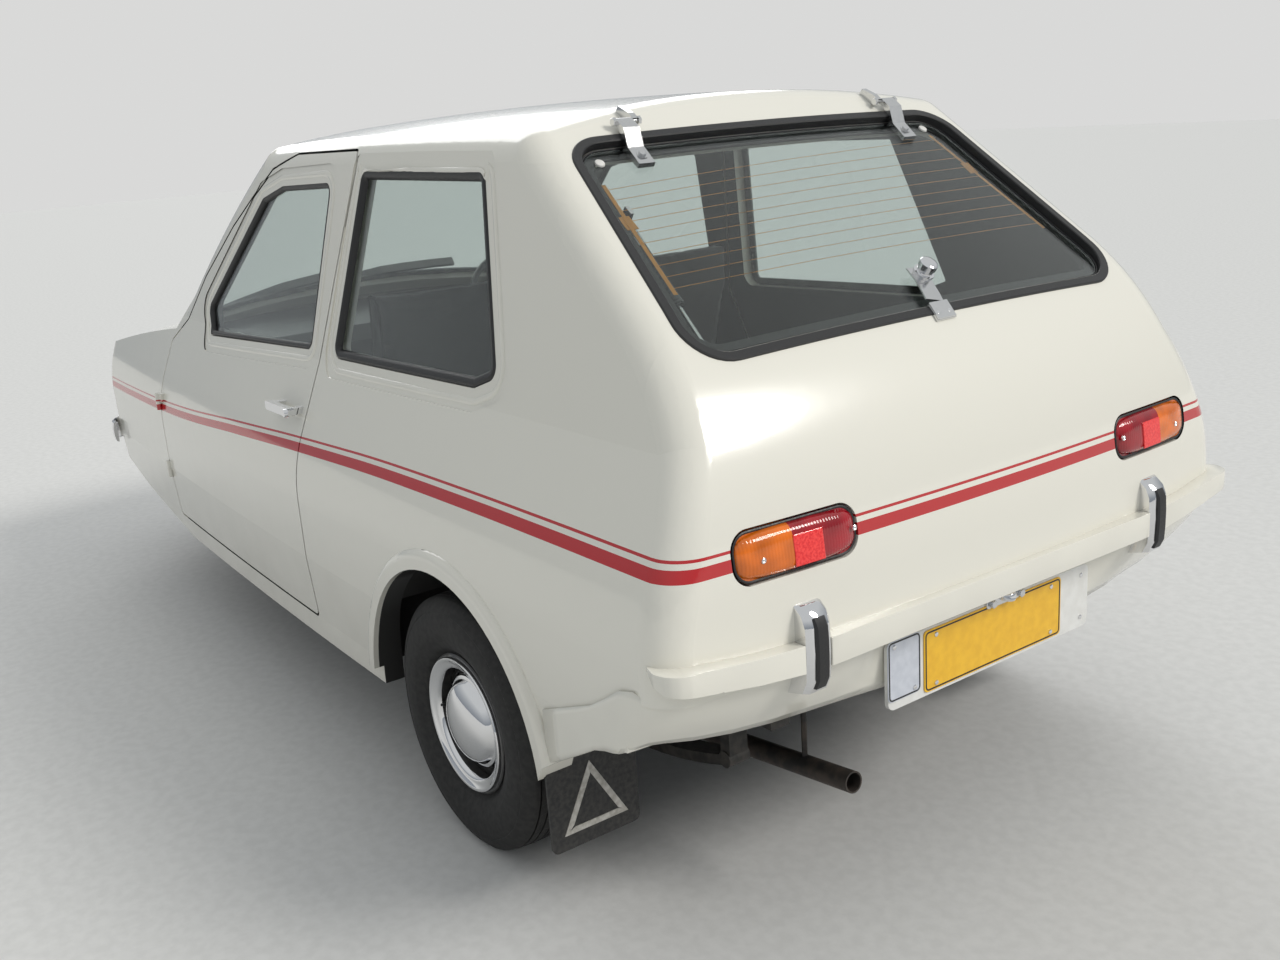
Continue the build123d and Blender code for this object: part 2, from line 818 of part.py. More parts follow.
keep("hatch_brackets", Compound([roof_leaves.part, latch_bracket.part, strut_foot.part]))

# Gas strut: the tube hangs from the glass, and the rod slides in it down to the body
strut_a = Vector(*slope_point(strut_top_s, strut_top_d, strut_y))
strut_b = Vector(*slope_point(strut_foot_s, strut_foot_d, strut_y))
strut_way = (strut_b - strut_a).normalized()
with BuildPart() as strut_tube:
    add(rod(tuple(strut_a - Vector(0, eye_wide / 2, 0)), tuple(strut_a + Vector(0, eye_wide / 2, 0)), eye_r))
    add(rod(tuple(strut_a + strut_way * 5), tuple(strut_a + strut_way * 18), 4))
    add(rod(tuple(strut_a + strut_way * 16), tuple(strut_a + strut_way * strut_tube_long), strut_tube_r))
    add(rod(tuple(strut_a + strut_way * 24), tuple(strut_a + strut_way * (strut_tube_long + 1)),
            strut_rod_r + 0.05), mode=Mode.SUBTRACT)
    add(rod(tuple(strut_a - Vector(0, eye_wide, 0)), tuple(strut_a + Vector(0, eye_wide, 0)),
            eye_pin_r + 0.05), mode=Mode.SUBTRACT)
keep("strut_tube", strut_tube.part)

with BuildPart() as strut_rod:
    add(rod(tuple(strut_b), tuple(strut_b - strut_way * strut_rod_long), strut_rod_r))
    add(rod(tuple(strut_b - Vector(0, eye_wide / 2, 0)), tuple(strut_b + Vector(0, eye_wide / 2, 0)), eye_r))
    add(rod(tuple(strut_b - Vector(0, eye_wide, 0)), tuple(strut_b + Vector(0, eye_wide, 0)),
            eye_pin_r + 0.05), mode=Mode.SUBTRACT)
keep("strut_rod", strut_rod.part)

# Floor: a low pan in front, a step up to the load floor, tubs over the rear wheels and the tunnel
tub_out = arch_radius + tub_wall
with BuildPart() as floor_pan:
    add(block(load_step_x, cabin_front, -720, 720, floor_low, floor_low + floor_thick))
    add(block(load_step_x, load_step_x + 10, -720, 720, floor_low, load_floor_low + floor_thick))
    add(block(-1640, load_step_x, -720, 720, load_floor_low, load_floor_low + floor_thick))
    for side in (1, -1):
        with BuildSketch(Plane.XZ.offset(-side * tub_inner_y)):
            with Locations((arch_x, arch_z)):
                Circle(tub_out)
            with Locations((arch_x, load_floor_low)):
                Rectangle(800, 500, align=(Align.CENTER, Align.MAX), mode=Mode.SUBTRACT)
        extrude(amount=-side * 200)
    add(block(load_step_x, tunnel_front, -tunnel_half, tunnel_half, floor_low, tunnel_top))
    add(inner, mode=Mode.INTERSECT)
    for side in (1, -1):
        with BuildSketch(Plane.XZ.offset(-side * (tub_inner_y + tub_wall))):
            with Locations((arch_x, arch_z)):
                Circle(arch_radius)
        extrude(amount=-side * 200, mode=Mode.SUBTRACT)
    tunnel_bore = tunnel_half - tunnel_wall
    add(block(load_step_x - 10, cabin_front + 10, -tunnel_bore, tunnel_bore, 200, tunnel_top - tunnel_wall),
        mode=Mode.SUBTRACT)
    add(block(tunnel_front, cabin_front + 10, -202, 202, 200, 300), mode=Mode.SUBTRACT)
keep("floor_pan", floor_pan.part)

# Box over the front wheel, with a shelf out to the wings and a ledge for the damper
damper_y = 245
damper_x = 1080
shelf_low = 346
shelf_high = 354
well_back = front_axle_x - well_reach
well_front = front_axle_x + well_reach
radiator_back = well_front + well_wall + 1
radiator_thick = 32
shelf_front = radiator_back + radiator_thick + 8
with BuildPart() as front_wheel_box:
    add(block(well_back - well_wall, shelf_front, -720, 720, shelf_low, shelf_high))
    add(block(well_back - well_wall, well_front + well_wall, -well_half - well_wall, well_half + well_wall,
              300, well_top + well_wall))
    add(block(damper_x - 60, damper_x + 60, well_half, damper_y + 45, well_top, well_top + well_wall))
    add(inner, mode=Mode.INTERSECT)
    add(block(well_back, well_front, -well_half, well_half, 290, well_top), mode=Mode.SUBTRACT)
    add(rod((damper_x, damper_y, 300), (damper_x, damper_y, 400), 30), mode=Mode.SUBTRACT)
keep("front_wheel_box", front_wheel_box.part)

# Steering column, from the wheel through the dashboard to the bulkhead
steer_y = -318
column_r = 14
column_way = Vector(0.8143, 0, -0.5804)
column_top = Vector(330, steer_y, 800)
column_foot = column_top + column_way * 400
with BuildPart() as steering_column:
    add(rod(tuple(column_top + column_way * 30), tuple(column_foot), column_r))
    add(rod(tuple(column_top - column_way * 12), tuple(column_top + column_way * 31), 10))
keep("steering_column", steering_column.part)

# Dashboard and bulkhead in one moulding, with the cover that hides the engine between the seats
dash_outline = ((470, 650), (455, 760), (490, 800), (640, 815), (830, 825), (830, 800), (652, 790),
                (652, floor_low + floor_thick), (640, floor_low + floor_thick), (640, 640), (520, 630))
cover_half = 210
cover_top = 600
cover_wall = 8
with BuildPart() as dashboard:
    add(side_prism(dash_outline, 0, 0, 0, 720))
    add(inner, mode=Mode.INTERSECT)
    add(cabin_side, mode=Mode.INTERSECT)
    mirror(about=Plane.XZ)
    add(block(600, 700, -cover_half + cover_wall, cover_half - cover_wall, 200, cover_top - cover_wall),
        mode=Mode.SUBTRACT)
    add(steering_column.part, mode=Mode.SUBTRACT)
keep("dashboard", dashboard.part)

with BuildPart() as engine_cover:
    add(block(tunnel_front, 640, -cover_half, cover_half, floor_low + floor_thick, cover_top))
    add(block(tunnel_front + cover_wall, 650, -cover_half + cover_wall, cover_half - cover_wall, 200,
              cover_top - cover_wall), mode=Mode.SUBTRACT)
    add(block(tunnel_front - 10, 420, -tunnel_bore, tunnel_bore, 200, tunnel_top - tunnel_wall),
        mode=Mode.SUBTRACT)
keep("engine_cover", engine_cover.part)

# Chassis: two kicked up rails, cross members, spring hangers and lugs for the front arm's pivot
rail_y = 400
rail_wide = 40
rail_outline = ((-1522, 360), (-775, 360), (-590, 180), (900, 180), (1200, 262), (1440, 290),
                (1440, shelf_low), (1200, shelf_low - 22), (890, floor_low), (load_step_x, floor_low),
                (-745, load_floor_low), (-1522, load_floor_low))
pivot_x = 872
pivot_z = 228
pivot_r = 20
arm_z_low = 225
arm_z_high = 265
pivot_tube = rod((pivot_x, -120, pivot_z), (pivot_x, damper_y + 20, pivot_z), pivot_r)
chassis_blocks = (
    (-625, -575, -rail_y, rail_y, 215, 240),
    (125, 175, -rail_y, rail_y, 215, 240),
    (802, 850, -rail_y, rail_y, 215, 240),
    (-1520, -1480, -rail_y, rail_y, 380, 430),
    (850, pivot_x, -120, -90, 210, 246),
    (850, pivot_x, 150, 180, 210, 246),
)
spring_y = 400
spring_wide = 45
spring_front = (-700, 262)
spring_middle = (rear_axle_x, 208)
spring_back = (-1400, 262)
spring_thick = 20
with BuildPart() as chassis_frame:
    for side in (1, -1):
        low = side * rail_y - rail_wide / 2
        add(side_prism(rail_outline, 0, 0, low, low + rail_wide))
        add(block(-722, -678, low, low + rail_wide, 262, 330))
        add(block(-1412, -1388, low, low + rail_wide, 262, 365))
    for row in chassis_blocks:
        add(block(*row))
    add(pivot_tube, mode=Mode.SUBTRACT)

with BuildPart() as springs:
    for side in (1, -1):
        with BuildSketch(Plane.XZ.offset(-side * spring_y)):
            with BuildLine():
                ThreePointArc(*((x, z + spring_thick / 2) for x, z in (spring_front, spring_middle, spring_back)))
                Line((spring_back[0], spring_back[1] + spring_thick / 2),
                     (spring_back[0], spring_back[1] - spring_thick / 2))
                ThreePointArc(*((x, z - spring_thick / 2) for x, z in (spring_back, spring_middle, spring_front)))
                Line((spring_front[0], spring_front[1] - spring_thick / 2),
                     (spring_front[0], spring_front[1] + spring_thick / 2))
            make_face()
        extrude(amount=spring_wide / 2, both=True)
        for x, z in (spring_front, spring_back):
            add(rod((x, side * spring_y - spring_wide / 2, z), (x, side * spring_y + spring_wide / 2, z), 15))

with BuildPart() as chassis_open:
    add(chassis_frame.part)
    add(springs.part, mode=Mode.SUBTRACT)
keep("chassis_frame", chassis_open.part)

# Rear axle: a tube with its differential, spring saddles, drums and stubs
stub_r = 20
drum_inner_y = 548
hub_y = rear_track / 2
damper_r = 20
rear_damper_x = -1060
rear_damper_y = 330
with BuildPart() as rear_axle:
    add(rod((rear_axle_x, -drum_inner_y, axle_height), (rear_axle_x, drum_inner_y, axle_height), 32))
    with Locations((rear_axle_x, 0, axle_height)):
        Sphere(95)
    add(rod((rear_axle_x, 0, axle_height), (-868, 0, axle_height + 6), 42))
    for side in (1, -1):
        y = side * drum_inner_y
        add(rod((rear_axle_x, y, axle_height), (rear_axle_x, y + side * 8, axle_height), 112))
        add(rod((rear_axle_x, y, axle_height), (rear_axle_x, y + side * 62, axle_height), 95))
        add(rod((rear_axle_x, y, axle_height), (rear_axle_x, side * (hub_y + 28), axle_height), stub_r))
        low = side * spring_y - 24
        add(block(rear_axle_x - 36, rear_axle_x + 36, low, low + 48, 200, axle_height))
        low = side * rear_damper_y - 14
        add(block(rear_damper_x - 20, rear_axle_x, low, low + 28, 240, 262))
    add(springs.part, mode=Mode.SUBTRACT)
keep("rear_axle", rear_axle.part)

with BuildPart() as rear_dampers:
    for side in (1, -1):
        y = side * rear_damper_y
        add(rod((rear_damper_x, y, 262), (rear_damper_x, y, load_floor_low), damper_r))
keep("rear_springs", Compound([*springs.part.solids(), *rear_dampers.part.solids()]))

# Engine and gearbox as plain blocks, with the radiator standing on the front shelf
engine_blocks = (
    (400, 792, -150, 150, 240, 582),
    (-60, 400, -85, 85, 245, 380),
    (125, 175, -60, 60, 240, 245),
    (792, 840, -60, 60, 260, 582),
)
with BuildPart() as engine_block:
    for row in engine_blocks:
        add(block(*row))
    add(block(430, 460, -380, 380, 241, 249))
    add(block(radiator_back, radiator_back + radiator_thick, -220, 220, shelf_high, 640))
keep("engine_block", engine_block.part)

with BuildPart() as prop_shaft:
    add(rod((-872, 0, axle_height + 6), (-56, 0, 305), 22))
    add(rear_axle.part, mode=Mode.SUBTRACT)
    add(engine_block.part, mode=Mode.SUBTRACT)
keep("prop_shaft", prop_shaft.part)

# Exhaust: down from the engine, a silencer under the floor, then under the axle to the tail
pipe_r = 19
exhaust_front = ((600, 150, 330), (600, 178, 330), (600, 178, 190), (380, 250, 190), (-60, 250, 190))
exhaust_back = ((-400, 250, 190), (-820, 262, 180), (-1100, 284, 176), (-1568, 284, 235))
with BuildPart() as exhaust:
    add(bent_pipe(exhaust_front, 22, pipe_r))
    add(rod((-50, 250, 190), (-430, 250, 190), 50))
    add(bent_pipe(exhaust_back, 60, pipe_r))
    add(block(-310, -290, 235, 265, 230, floor_low))
    add(rod((-1450, 284, 215), (-1450, 284, load_floor_low), 5))
    add(rod((-1520, 284, 229), (-1570, 284, 235.3), 16), mode=Mode.SUBTRACT)
keep("exhaust", exhaust.part)

with BuildPart() as fuel_tank:
    add(block(-1480, -1250, -330, -60, 270, load_floor_low))
    fillet(fuel_tank.edges().filter_by(Axis.Y), 25)
keep("fuel_tank", fuel_tank.part)

# Front arm: one leading arm on the left, bent in to forks that hold the king pin
king_y = 30
king_r = 14
sleeve_low = 215
sleeve_high = 285
fork_reach = 90
with BuildPart() as front_swing_arm:
    add(pivot_tube)
    add(block(pivot_x, front_axle_x + 25, damper_y - 20, damper_y + 20, arm_z_low, arm_z_high))
    add(block(front_axle_x - 25, front_axle_x + 25, fork_reach - 24, damper_y, 225, 275))
    add(block(front_axle_x - 25, front_axle_x + 25, fork_reach - 24, fork_reach, sleeve_low - 16, sleeve_high + 16))
    for low in (sleeve_low - 16, sleeve_high + 2):
        add(block(front_axle_x - 25, front_axle_x + 25, king_y, fork_reach, low, low + 14))
        add(rod((front_axle_x, king_y, low), (front_axle_x, king_y, low + 14), 25))
    add(rod((front_axle_x, king_y, sleeve_low - 16), (front_axle_x, king_y, sleeve_high + 16), king_r))
keep("front_swing_arm", front_swing_arm.part)

with BuildPart() as front_damper:
    add(rod((damper_x, damper_y, arm_z_high), (damper_x, damper_y, well_top), damper_r))
keep("front_damper", front_damper.part)

with BuildPart() as front_stub_axle:
    add(rod((front_axle_x, king_y, sleeve_low), (front_axle_x, king_y, sleeve_high), 26))
    add(rod((front_axle_x, king_y, axle_height), (front_axle_x, -28, axle_height), stub_r))
    add(rod((front_axle_x, king_y, sleeve_low - 1), (front_axle_x, king_y, sleeve_high + 1), king_r + 0.05),
        mode=Mode.SUBTRACT)
keep("front_stub_axle", front_stub_axle.part)

# Wheels: distances along the axle from the wheel's middle, outboard positive, and radii
bore_r = stub_r + 0.05
cap_radius = 75.6
cap_centre = 1.4
cap_thick = 3
cap_turn = radians(68)


def cap_point(radius, turn):
    """A point on the hub cap's dome, turned from its tip."""
    return (cap_centre + radius * cos(turn), radius * sin(turn))


cap_outer = [cap_point(cap_radius, turn) for turn in (cap_turn, cap_turn / 2, 0)]
cap_inner = [cap_point(cap_radius - cap_thick, turn) for turn in (0, cap_turn / 2, cap_turn)]
rim_outline = (
    (0, bore_r), (0, 36), (8, 36), (8, 120), (-48, 120), (-48, 137), (-44, 137), (-44, rim_radius),
    (44, rim_radius), (44, 137), (48, 137), (48, 120), (16, 120), (16, 74), cap_outer[0],
)
rim_back = (cap_inner[2], (16, cap_inner[2][1]), (16, 36), (30, 36), (30, bore_r), (0, bore_r))
bead = rim_radius + 0.3
tyre_outline = (
    (-43.7, bead), (-43.7, 139), (-61, 163), (-66, 194), (-61, 226), (-47, 246), (-20, tyre_radius),
    (20, tyre_radius), (47, 246), (61, 226), (66, 194), (61, 163), (43.7, 139), (43.7, bead),
    (33, bead), (33, 143), (52, 190), (42, 234), (-42, 234), (-52, 190), (-33, 143), (-33, bead),
)
wheels = (
    ("rear_left", rear_axle_x, hub_y, 1),
    ("rear_right", rear_axle_x, -hub_y, -1),
    ("front", front_axle_x, 0, -1),
)
for name, wheel_x, wheel_y, outboard in wheels:
    wheel_plane = Plane(origin=(wheel_x, wheel_y, axle_height), x_dir=(0, outboard, 0), z_dir=(outboard, 0, 0))
    wheel_axis = Axis((wheel_x, wheel_y, axle_height), (0, 1, 0))
    with BuildPart() as rim:
        with BuildSketch(wheel_plane):
            with BuildLine():
                Polyline(*rim_outline)
                ThreePointArc(*cap_outer)
                Line(cap_outer[2], cap_inner[0])
                ThreePointArc(*cap_inner)
                Polyline(*rim_back)
            make_face()
        revolve(axis=wheel_axis)
    keep(f"rim_{name}", rim.part)
    with BuildPart() as tyre:
        with BuildSketch(wheel_plane):
            Polygon(*tyre_outline, align=None)
        revolve(axis=wheel_axis)
    keep(f"tyre_{name}", tyre.part)

# Grille, lamps and bumper at the nose
with BuildPart() as grille:
    with BuildSketch(Plane.YZ.offset(nose_x - 236)) as flat:
        with Locations((0, grille_z)):
            Rectangle(2 * grille_half - 2 * seat_gap, grille_high - 2 * seat_gap)
        fillet(flat.vertices(), 20)
        with Locations((0, grille_z)):
            with GridLocations(200, 22, 3, 4):
                Rectangle(188, 13, mode=Mode.SUBTRACT)
    extrude(amount=300)
    add(nose_form(2), mode=Mode.INTERSECT)
    add(nose_form(16), mode=Mode.SUBTRACT)
keep("grille", grille.part)

lamp_back_x = nose_x - 136
lamp_deep = 90
lamp_bulge = 18
lamp_dome_r = (lamp_bulge ** 2 + lamp_r ** 2) / (2 * lamp_bulge)
lamp_middle = (lamp_deep + lamp_bulge - lamp_dome_r + (lamp_dome_r ** 2 - lamp_r ** 2 / 4) ** 0.5, lamp_r / 2)
with BuildPart() as headlamps:
    for side in (1, -1):
        with BuildSketch(Plane(origin=(lamp_back_x, side * lamp_y, lamp_z), x_dir=(1, 0, 0), z_dir=(0, -1, 0))):
            with BuildLine():
                Polyline((0, 0), (0, lamp_r), (lamp_deep, lamp_r))
                ThreePointArc((lamp_deep, lamp_r), lamp_middle, (lamp_deep + lamp_bulge, 0))
                Line((lamp_deep + lamp_bulge, 0), (0, 0))
            make_face()
        revolve(axis=Axis((lamp_back_x, side * lamp_y, lamp_z), (1, 0, 0)))
with BuildPart() as flashers:
    for side in (1, -1):
        with BuildSketch(Plane.YZ.offset(nose_x - 236)) as flat:
            with Locations((side * lamp_y, 482)):
                Rectangle(150, 36)
            fillet(flat.vertices(), 6)
        extrude(amount=300)
    add(nose_form(-14), mode=Mode.INTERSECT)
    add(outer, mode=Mode.SUBTRACT)
keep("headlamps", Compound([*headlamps.part.solids(), *flashers.part.solids()]))

bumper_z = 422
blade_high = 70
blade_half = 602
blade_end_x = front_end - 98.5
blade_thick = 10
with BuildPart() as front_bumper:
    with BuildSketch(Plane.XY.offset(bumper_z - blade_high / 2)):
        with BuildLine():
            ThreePointArc((blade_end_x, -blade_half), (front_end, 0), (blade_end_x, blade_half))
            Line((blade_end_x, blade_half), (blade_end_x - 8, blade_half - 7))
            ThreePointArc((blade_end_x - 8, blade_half - 7), (front_end - blade_thick, 0),
                          (blade_end_x - 8, -blade_half + 7))
            Line((blade_end_x - 8, -blade_half + 7), (blade_end_x, -blade_half))
        make_face()
    extrude(amount=blade_high)
    for side in (1, -1):
        add(block(nose_x - 136, front_end - 22, side * 300 - 20, side * 300 + 20, bumper_z - 12, bumper_z + 12))
    add(outer, mode=Mode.SUBTRACT)
keep("front_bumper", front_bumper.part)

# Rear bumper in body colour, wrapped round the corners, with two overriders let into it
overrider_y = 431
overrider_half = 26
bumper_tip_x = tail_x + 68
bumper_outline = ((bumper_tip_x, -680), (bumper_tip_x, -692), (tail_x + 42, -701), (tail_x, -699),
                  (tail_x - 14, -380), (tail_x - 14, 380), (tail_x, 699), (tail_x + 42, 701),
                  (bumper_tip_x, 692), (bumper_tip_x, 680), (tail_x + 62, 0))
bumper_back_view = ((-720, 604), (-640, 597), (-540, 577), (-440, 567), (440, 567), (540, 577), (640, 597),
                    (720, 604), (720, 552), (640, 528), (540, 500), (440, 482), (-440, 482), (-540, 500),
                    (-640, 528), (-720, 552))
bumper_tip_cut = ((tail_x + 90, 400), (tail_x + 90, 592), (bumper_tip_x, 588), (tail_x - 6, 520), (tail_x - 6, 400))
with BuildPart() as rear_bumper:
    with BuildSketch(Plane.XY.offset(440)) as flat:
        Polygon(*bumper_outline, align=None)
        fillet([v for v in flat.vertices() if v.X < tail_x + 1 and abs(v.Y) > 600], 42)
    extrude(amount=200)
    with BuildSketch(Plane.YZ.offset(back_end - 40)):
        Polygon(*bumper_back_view, align=None)
    extrude(amount=200, mode=Mode.INTERSECT)
    for low in (-720, 610):
        add(side_prism(bumper_tip_cut, 0, 0, low, low + 110), mode=Mode.SUBTRACT)
    add(outer, mode=Mode.SUBTRACT)
    for side in (1, -1):
        add(block(back_end - 40, tail_x + 90, side * overrider_y - overrider_half, side * overrider_y + overrider_half,
                  400, 700), mode=Mode.SUBTRACT)
keep("rear_bumper", rear_bumper.part)

overrider_outline = ((-1600, 466), (-1655, 478), (back_end, 500), (back_end, 585), (-1650, 612), (-1600, 620))
with BuildPart() as overriders:
    for side in (1, -1):
        add(side_prism(overrider_outline, 0, 0, side * overrider_y - overrider_half,
                       side * overrider_y + overrider_half))
    chamfer(overriders.edges().filter_by(lambda edge: edge.center().X < -1610 and abs(
        abs(edge.center().Y) - overrider_y) > 25 and edge.center().Z > 470), 7)
    add(outer, mode=Mode.SUBTRACT)
keep("overriders", overriders.part)

# Tail lamps in their pockets, the plate board and the mud flaps
with BuildPart() as tail_lamps:
    for side in (1, -1):
        with BuildSketch(Plane.YZ.offset(-1700)) as flat:
            with Locations((side * tail_lamp_y, tail_lamp_z)):
                Rectangle(tail_lamp_long, tail_lamp_high)
            fillet(flat.vertices(), 28)
        extrude(amount=200)
    add(tail_form(2), mode=Mode.INTERSECT)
    add(tail_form(30), mode=Mode.SUBTRACT)
keep("tail_lamps", tail_lamps.part)

with BuildPart() as plate_board:
    add(block(-1594, -1586, -306, 226, 352, 474))
    fillet(plate_board.edges().filter_by(Axis.X), 14)
    add(block(-1586, -1540, -210, -180, 440, 470))
    add(block(-1586, -1540, 100, 130, 440, 470))
    add(body_tail.part, mode=Mode.SUBTRACT)
    add(inner, mode=Mode.SUBTRACT)
keep("plate_board", plate_board.part)

with BuildPart() as mud_flaps:
    add(block(-1268, -1262, 515, 697, 130, 392))
    fillet([edge for edge in mud_flaps.edges().filter_by(Axis.X) if edge.center().Z < 200], 12)
    add(floor_pan.part, mode=Mode.SUBTRACT)
    add(shell.part, mode=Mode.SUBTRACT)
    mirror(about=Plane.XZ)
keep("mud_flaps", mud_flaps.part)

# Seats
front_seat_outline = ((325, 300), (330, 440), (295, 470), (-110, 430), (-200, 560), (-290, 900), (-310, 1010),
                      (-375, 1010), (-385, 900), (-300, 560), (-235, 330), (-160, 300))
with BuildPart() as front_seats:
    add(side_prism(front_seat_outline, 0, 0, 122, 512))
    fillet([v for v in front_seats.edges().filter_by(Axis.Y) if v.center().Z > 420], 18)
    add(block(-60, 260, 160, 474, floor_low + floor_thick, 300))
    mirror(about=Plane.XZ)
keep("front_seats", front_seats.part)

rear_seat_outline = ((-555, 442), (-480, 450), (-475, 510), (-500, 530), (-790, 505), (-870, 820), (-900, 835),
                     (-945, 825), (-930, 700), (-885, 442))
with BuildPart() as rear_seat:
    add(side_prism(rear_seat_outline, 0, 0, -510, 510))
keep("rear_seat", rear_seat.part)

# Steering wheel on the column's spindle
ring_r = 182
ring_plane = Plane(origin=tuple(column_top), x_dir=(0, 1, 0), z_dir=tuple(-column_way))
with BuildPart() as steering_wheel:
    with Locations(ring_plane):
        Torus(ring_r, 9)
    with BuildSketch(ring_plane.offset(-12)):
        Rectangle(2 * ring_r, 30)
    extrude(amount=14)
    add(rod(tuple(column_top + column_way * 28), tuple(column_top - column_way * 8), 32))
    add(rod(tuple(column_top + column_way * 40), tuple(column_top - column_way * 20), 10.05), mode=Mode.SUBTRACT)
keep("steering_wheel", steering_wheel.part)

with BuildPart() as rear_view_mirror:
    add(block(140, 158, -95, 95, 1200, 1258))
    fillet(rear_view_mirror.edges().filter_by(Axis.X), 16)
    add(rod((152, 0, 1240), (152, 0, 1340), 6))
    add(inner, mode=Mode.INTERSECT)
keep("rear_view_mirror", rear_view_mirror.part)

# Wipers: arms on spindles in the scuttle, blades lying on the glass
screen_plane = Plane(origin=(500, 0, 1085), x_dir=(cos(radians(screen_lean)), 0, -sin(radians(screen_lean))),
                     z_dir=(sin(radians(screen_lean)), 0, cos(radians(screen_lean))))
wiper_lines = (((378, 120), (338, -60), (318, -300)), ((378, 440), (338, 260), (318, 30)))
with BuildPart() as wipers:
    with BuildSketch(screen_plane.offset(-80)):
        for foot, middle, tip in wiper_lines:
            with Locations(foot):
                Circle(13)
            Polygon(foot, middle, tip, (tip[0] - 10, tip[1]), (middle[0] - 10, middle[1]),
                    (foot[0] - 10, foot[1]), align=None)
    extrude(amount=160)
    add(screen_form(-9), mode=Mode.INTERSECT)
    add(screen_form(glass_inset), mode=Mode.SUBTRACT)
    add(shell.part, mode=Mode.SUBTRACT)
keep("wipers", wipers.part)

if __name__ == "__main__":
    os.makedirs("parts", exist_ok=True)
    for node, solid in pieces.items():
        print(node, solid.is_valid, len(solid.solids()), round(solid.volume))
        export_step(solid, f"parts/{node}.step")
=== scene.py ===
"""The looks of a small three wheeled hatchback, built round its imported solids, in metres."""

from math import cos, pi, radians, sin, tan

import bmesh
import bpy
from mathutils import Matrix, Vector
from mathutils.bvhtree import BVHTree


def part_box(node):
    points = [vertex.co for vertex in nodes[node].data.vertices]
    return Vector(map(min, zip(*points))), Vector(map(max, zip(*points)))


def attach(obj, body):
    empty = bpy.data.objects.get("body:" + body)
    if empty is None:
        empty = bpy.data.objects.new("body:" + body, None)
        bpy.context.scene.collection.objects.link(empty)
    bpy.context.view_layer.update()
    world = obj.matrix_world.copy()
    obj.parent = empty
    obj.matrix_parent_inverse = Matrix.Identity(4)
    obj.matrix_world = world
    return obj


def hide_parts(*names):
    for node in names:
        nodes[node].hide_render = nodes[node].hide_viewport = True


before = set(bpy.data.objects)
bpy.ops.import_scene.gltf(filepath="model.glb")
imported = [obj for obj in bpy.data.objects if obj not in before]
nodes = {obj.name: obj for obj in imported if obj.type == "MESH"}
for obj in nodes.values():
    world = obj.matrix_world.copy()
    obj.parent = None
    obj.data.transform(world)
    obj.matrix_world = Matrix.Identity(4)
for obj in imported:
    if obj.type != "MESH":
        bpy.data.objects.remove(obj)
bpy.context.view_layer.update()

# Studio: a pale floor under soft light, seen from behind the left rear corner at a standing
# person's height, as the photograph was taken.
scene = bpy.context.scene
scene.view_settings.view_transform = "Standard"

camera_place = (-2.97, 1.663, 1.34)
camera_yaw = radians(-35.16)
camera_pitch = radians(-15.98)
camera_roll = radians(-4.05)
level_reach = cos(camera_pitch)
ahead = Vector((cos(camera_yaw) * level_reach, sin(camera_yaw) * level_reach, sin(camera_pitch)))
level = ahead.cross(Vector((0, 0, 1))).normalized()
upward = level.cross(ahead)
right = level * cos(camera_roll) + upward * sin(camera_roll)
top = upward * cos(camera_roll) - level * sin(camera_roll)
camera_data = bpy.data.cameras.new("camera")
camera_data.lens = 36.585
camera_data.sensor_width = 36
camera_data.clip_start = 0.05
camera_data.clip_end = 100
camera = bpy.data.objects.new("camera", camera_data)
camera.matrix_world = Matrix.Translation(camera_place) @ Matrix((right, top, -ahead)).transposed().to_4x4()
scene.collection.objects.link(camera)
scene.camera = camera


def add_node(owner, kind, sockets=None, **settings):
    """A shader node with its settings; each socket takes a constant or another node's output."""
    tree = owner.node_tree
    node = tree.nodes.new("ShaderNode" + kind)
    for name, value in settings.items():
        setattr(node, name, value)
    for name, value in (sockets or {}).items():
        if isinstance(value, bpy.types.NodeSocket):
            tree.links.new(value, node.inputs[name])
        else:
            node.inputs[name].default_value = value
    return node


def reckoned(owner, operation, *values):
    """One sum on constants and outputs."""
    return add_node(owner, "Math", dict(enumerate(values)), operation=operation).outputs["Value"]


def mixed(owner, share, first, second):
    """A colour between the first and the second."""
    sockets = {"Factor": share, "A": first, "B": second}
    return add_node(owner, "Mix", sockets, data_type="RGBA").outputs["Result"]


def ramped(owner, level, first, second, low, high):
    """A colour that runs from the first to the second as the level goes from low to high."""
    ramp = add_node(owner, "ValToRGB", {"Fac": level})
    ends = ramp.color_ramp.elements
    for end, colour, position in ((ends[0], first, low), (ends[1], second, high)):
        end.position = position
        end.color = (*colour, 1)
    return ramp.outputs["Color"]


world = bpy.data.worlds.new("studio")
scene.world = world
world.use_nodes = True
direction = add_node(world, "TexCoord").outputs["Generated"]
height = add_node(world, "SeparateXYZ", {"Vector": direction}).outputs["Z"]
shades = ramped(world, height, (0.4, 0.44, 0.49), (0.96, 0.99, 1.0), 0, 0.5)
rays = add_node(world, "LightPath").outputs
seen = reckoned(world, "MAXIMUM", rays["Is Camera Ray"], rays["Is Transmission Ray"])
sky = world.node_tree.nodes["Background"]
sky.inputs["Strength"].default_value = 0.62
world.node_tree.links.new(mixed(world, seen, shades, (1.12, 1.12, 1.11, 1)), sky.inputs["Color"])

suns = (
    ("sun", (-0.66, -0.45, 0.6), 1.7, 0.35, (1.0, 0.97, 0.92)),
    ("front_light", (0.8, -0.35, 0.5), 0.9, 0.8, (1.0, 1.0, 1.0)),
)
for name, way, strength, width, colour in suns:
    lamp_data = bpy.data.lights.new(name, "SUN")
    lamp_data.energy = strength
    lamp_data.angle = width
    lamp_data.color = colour
    lamp = bpy.data.objects.new(name, lamp_data)
    lamp.rotation_euler = Vector(way).to_track_quat("Z", "Y").to_euler()
    scene.collection.objects.link(lamp)


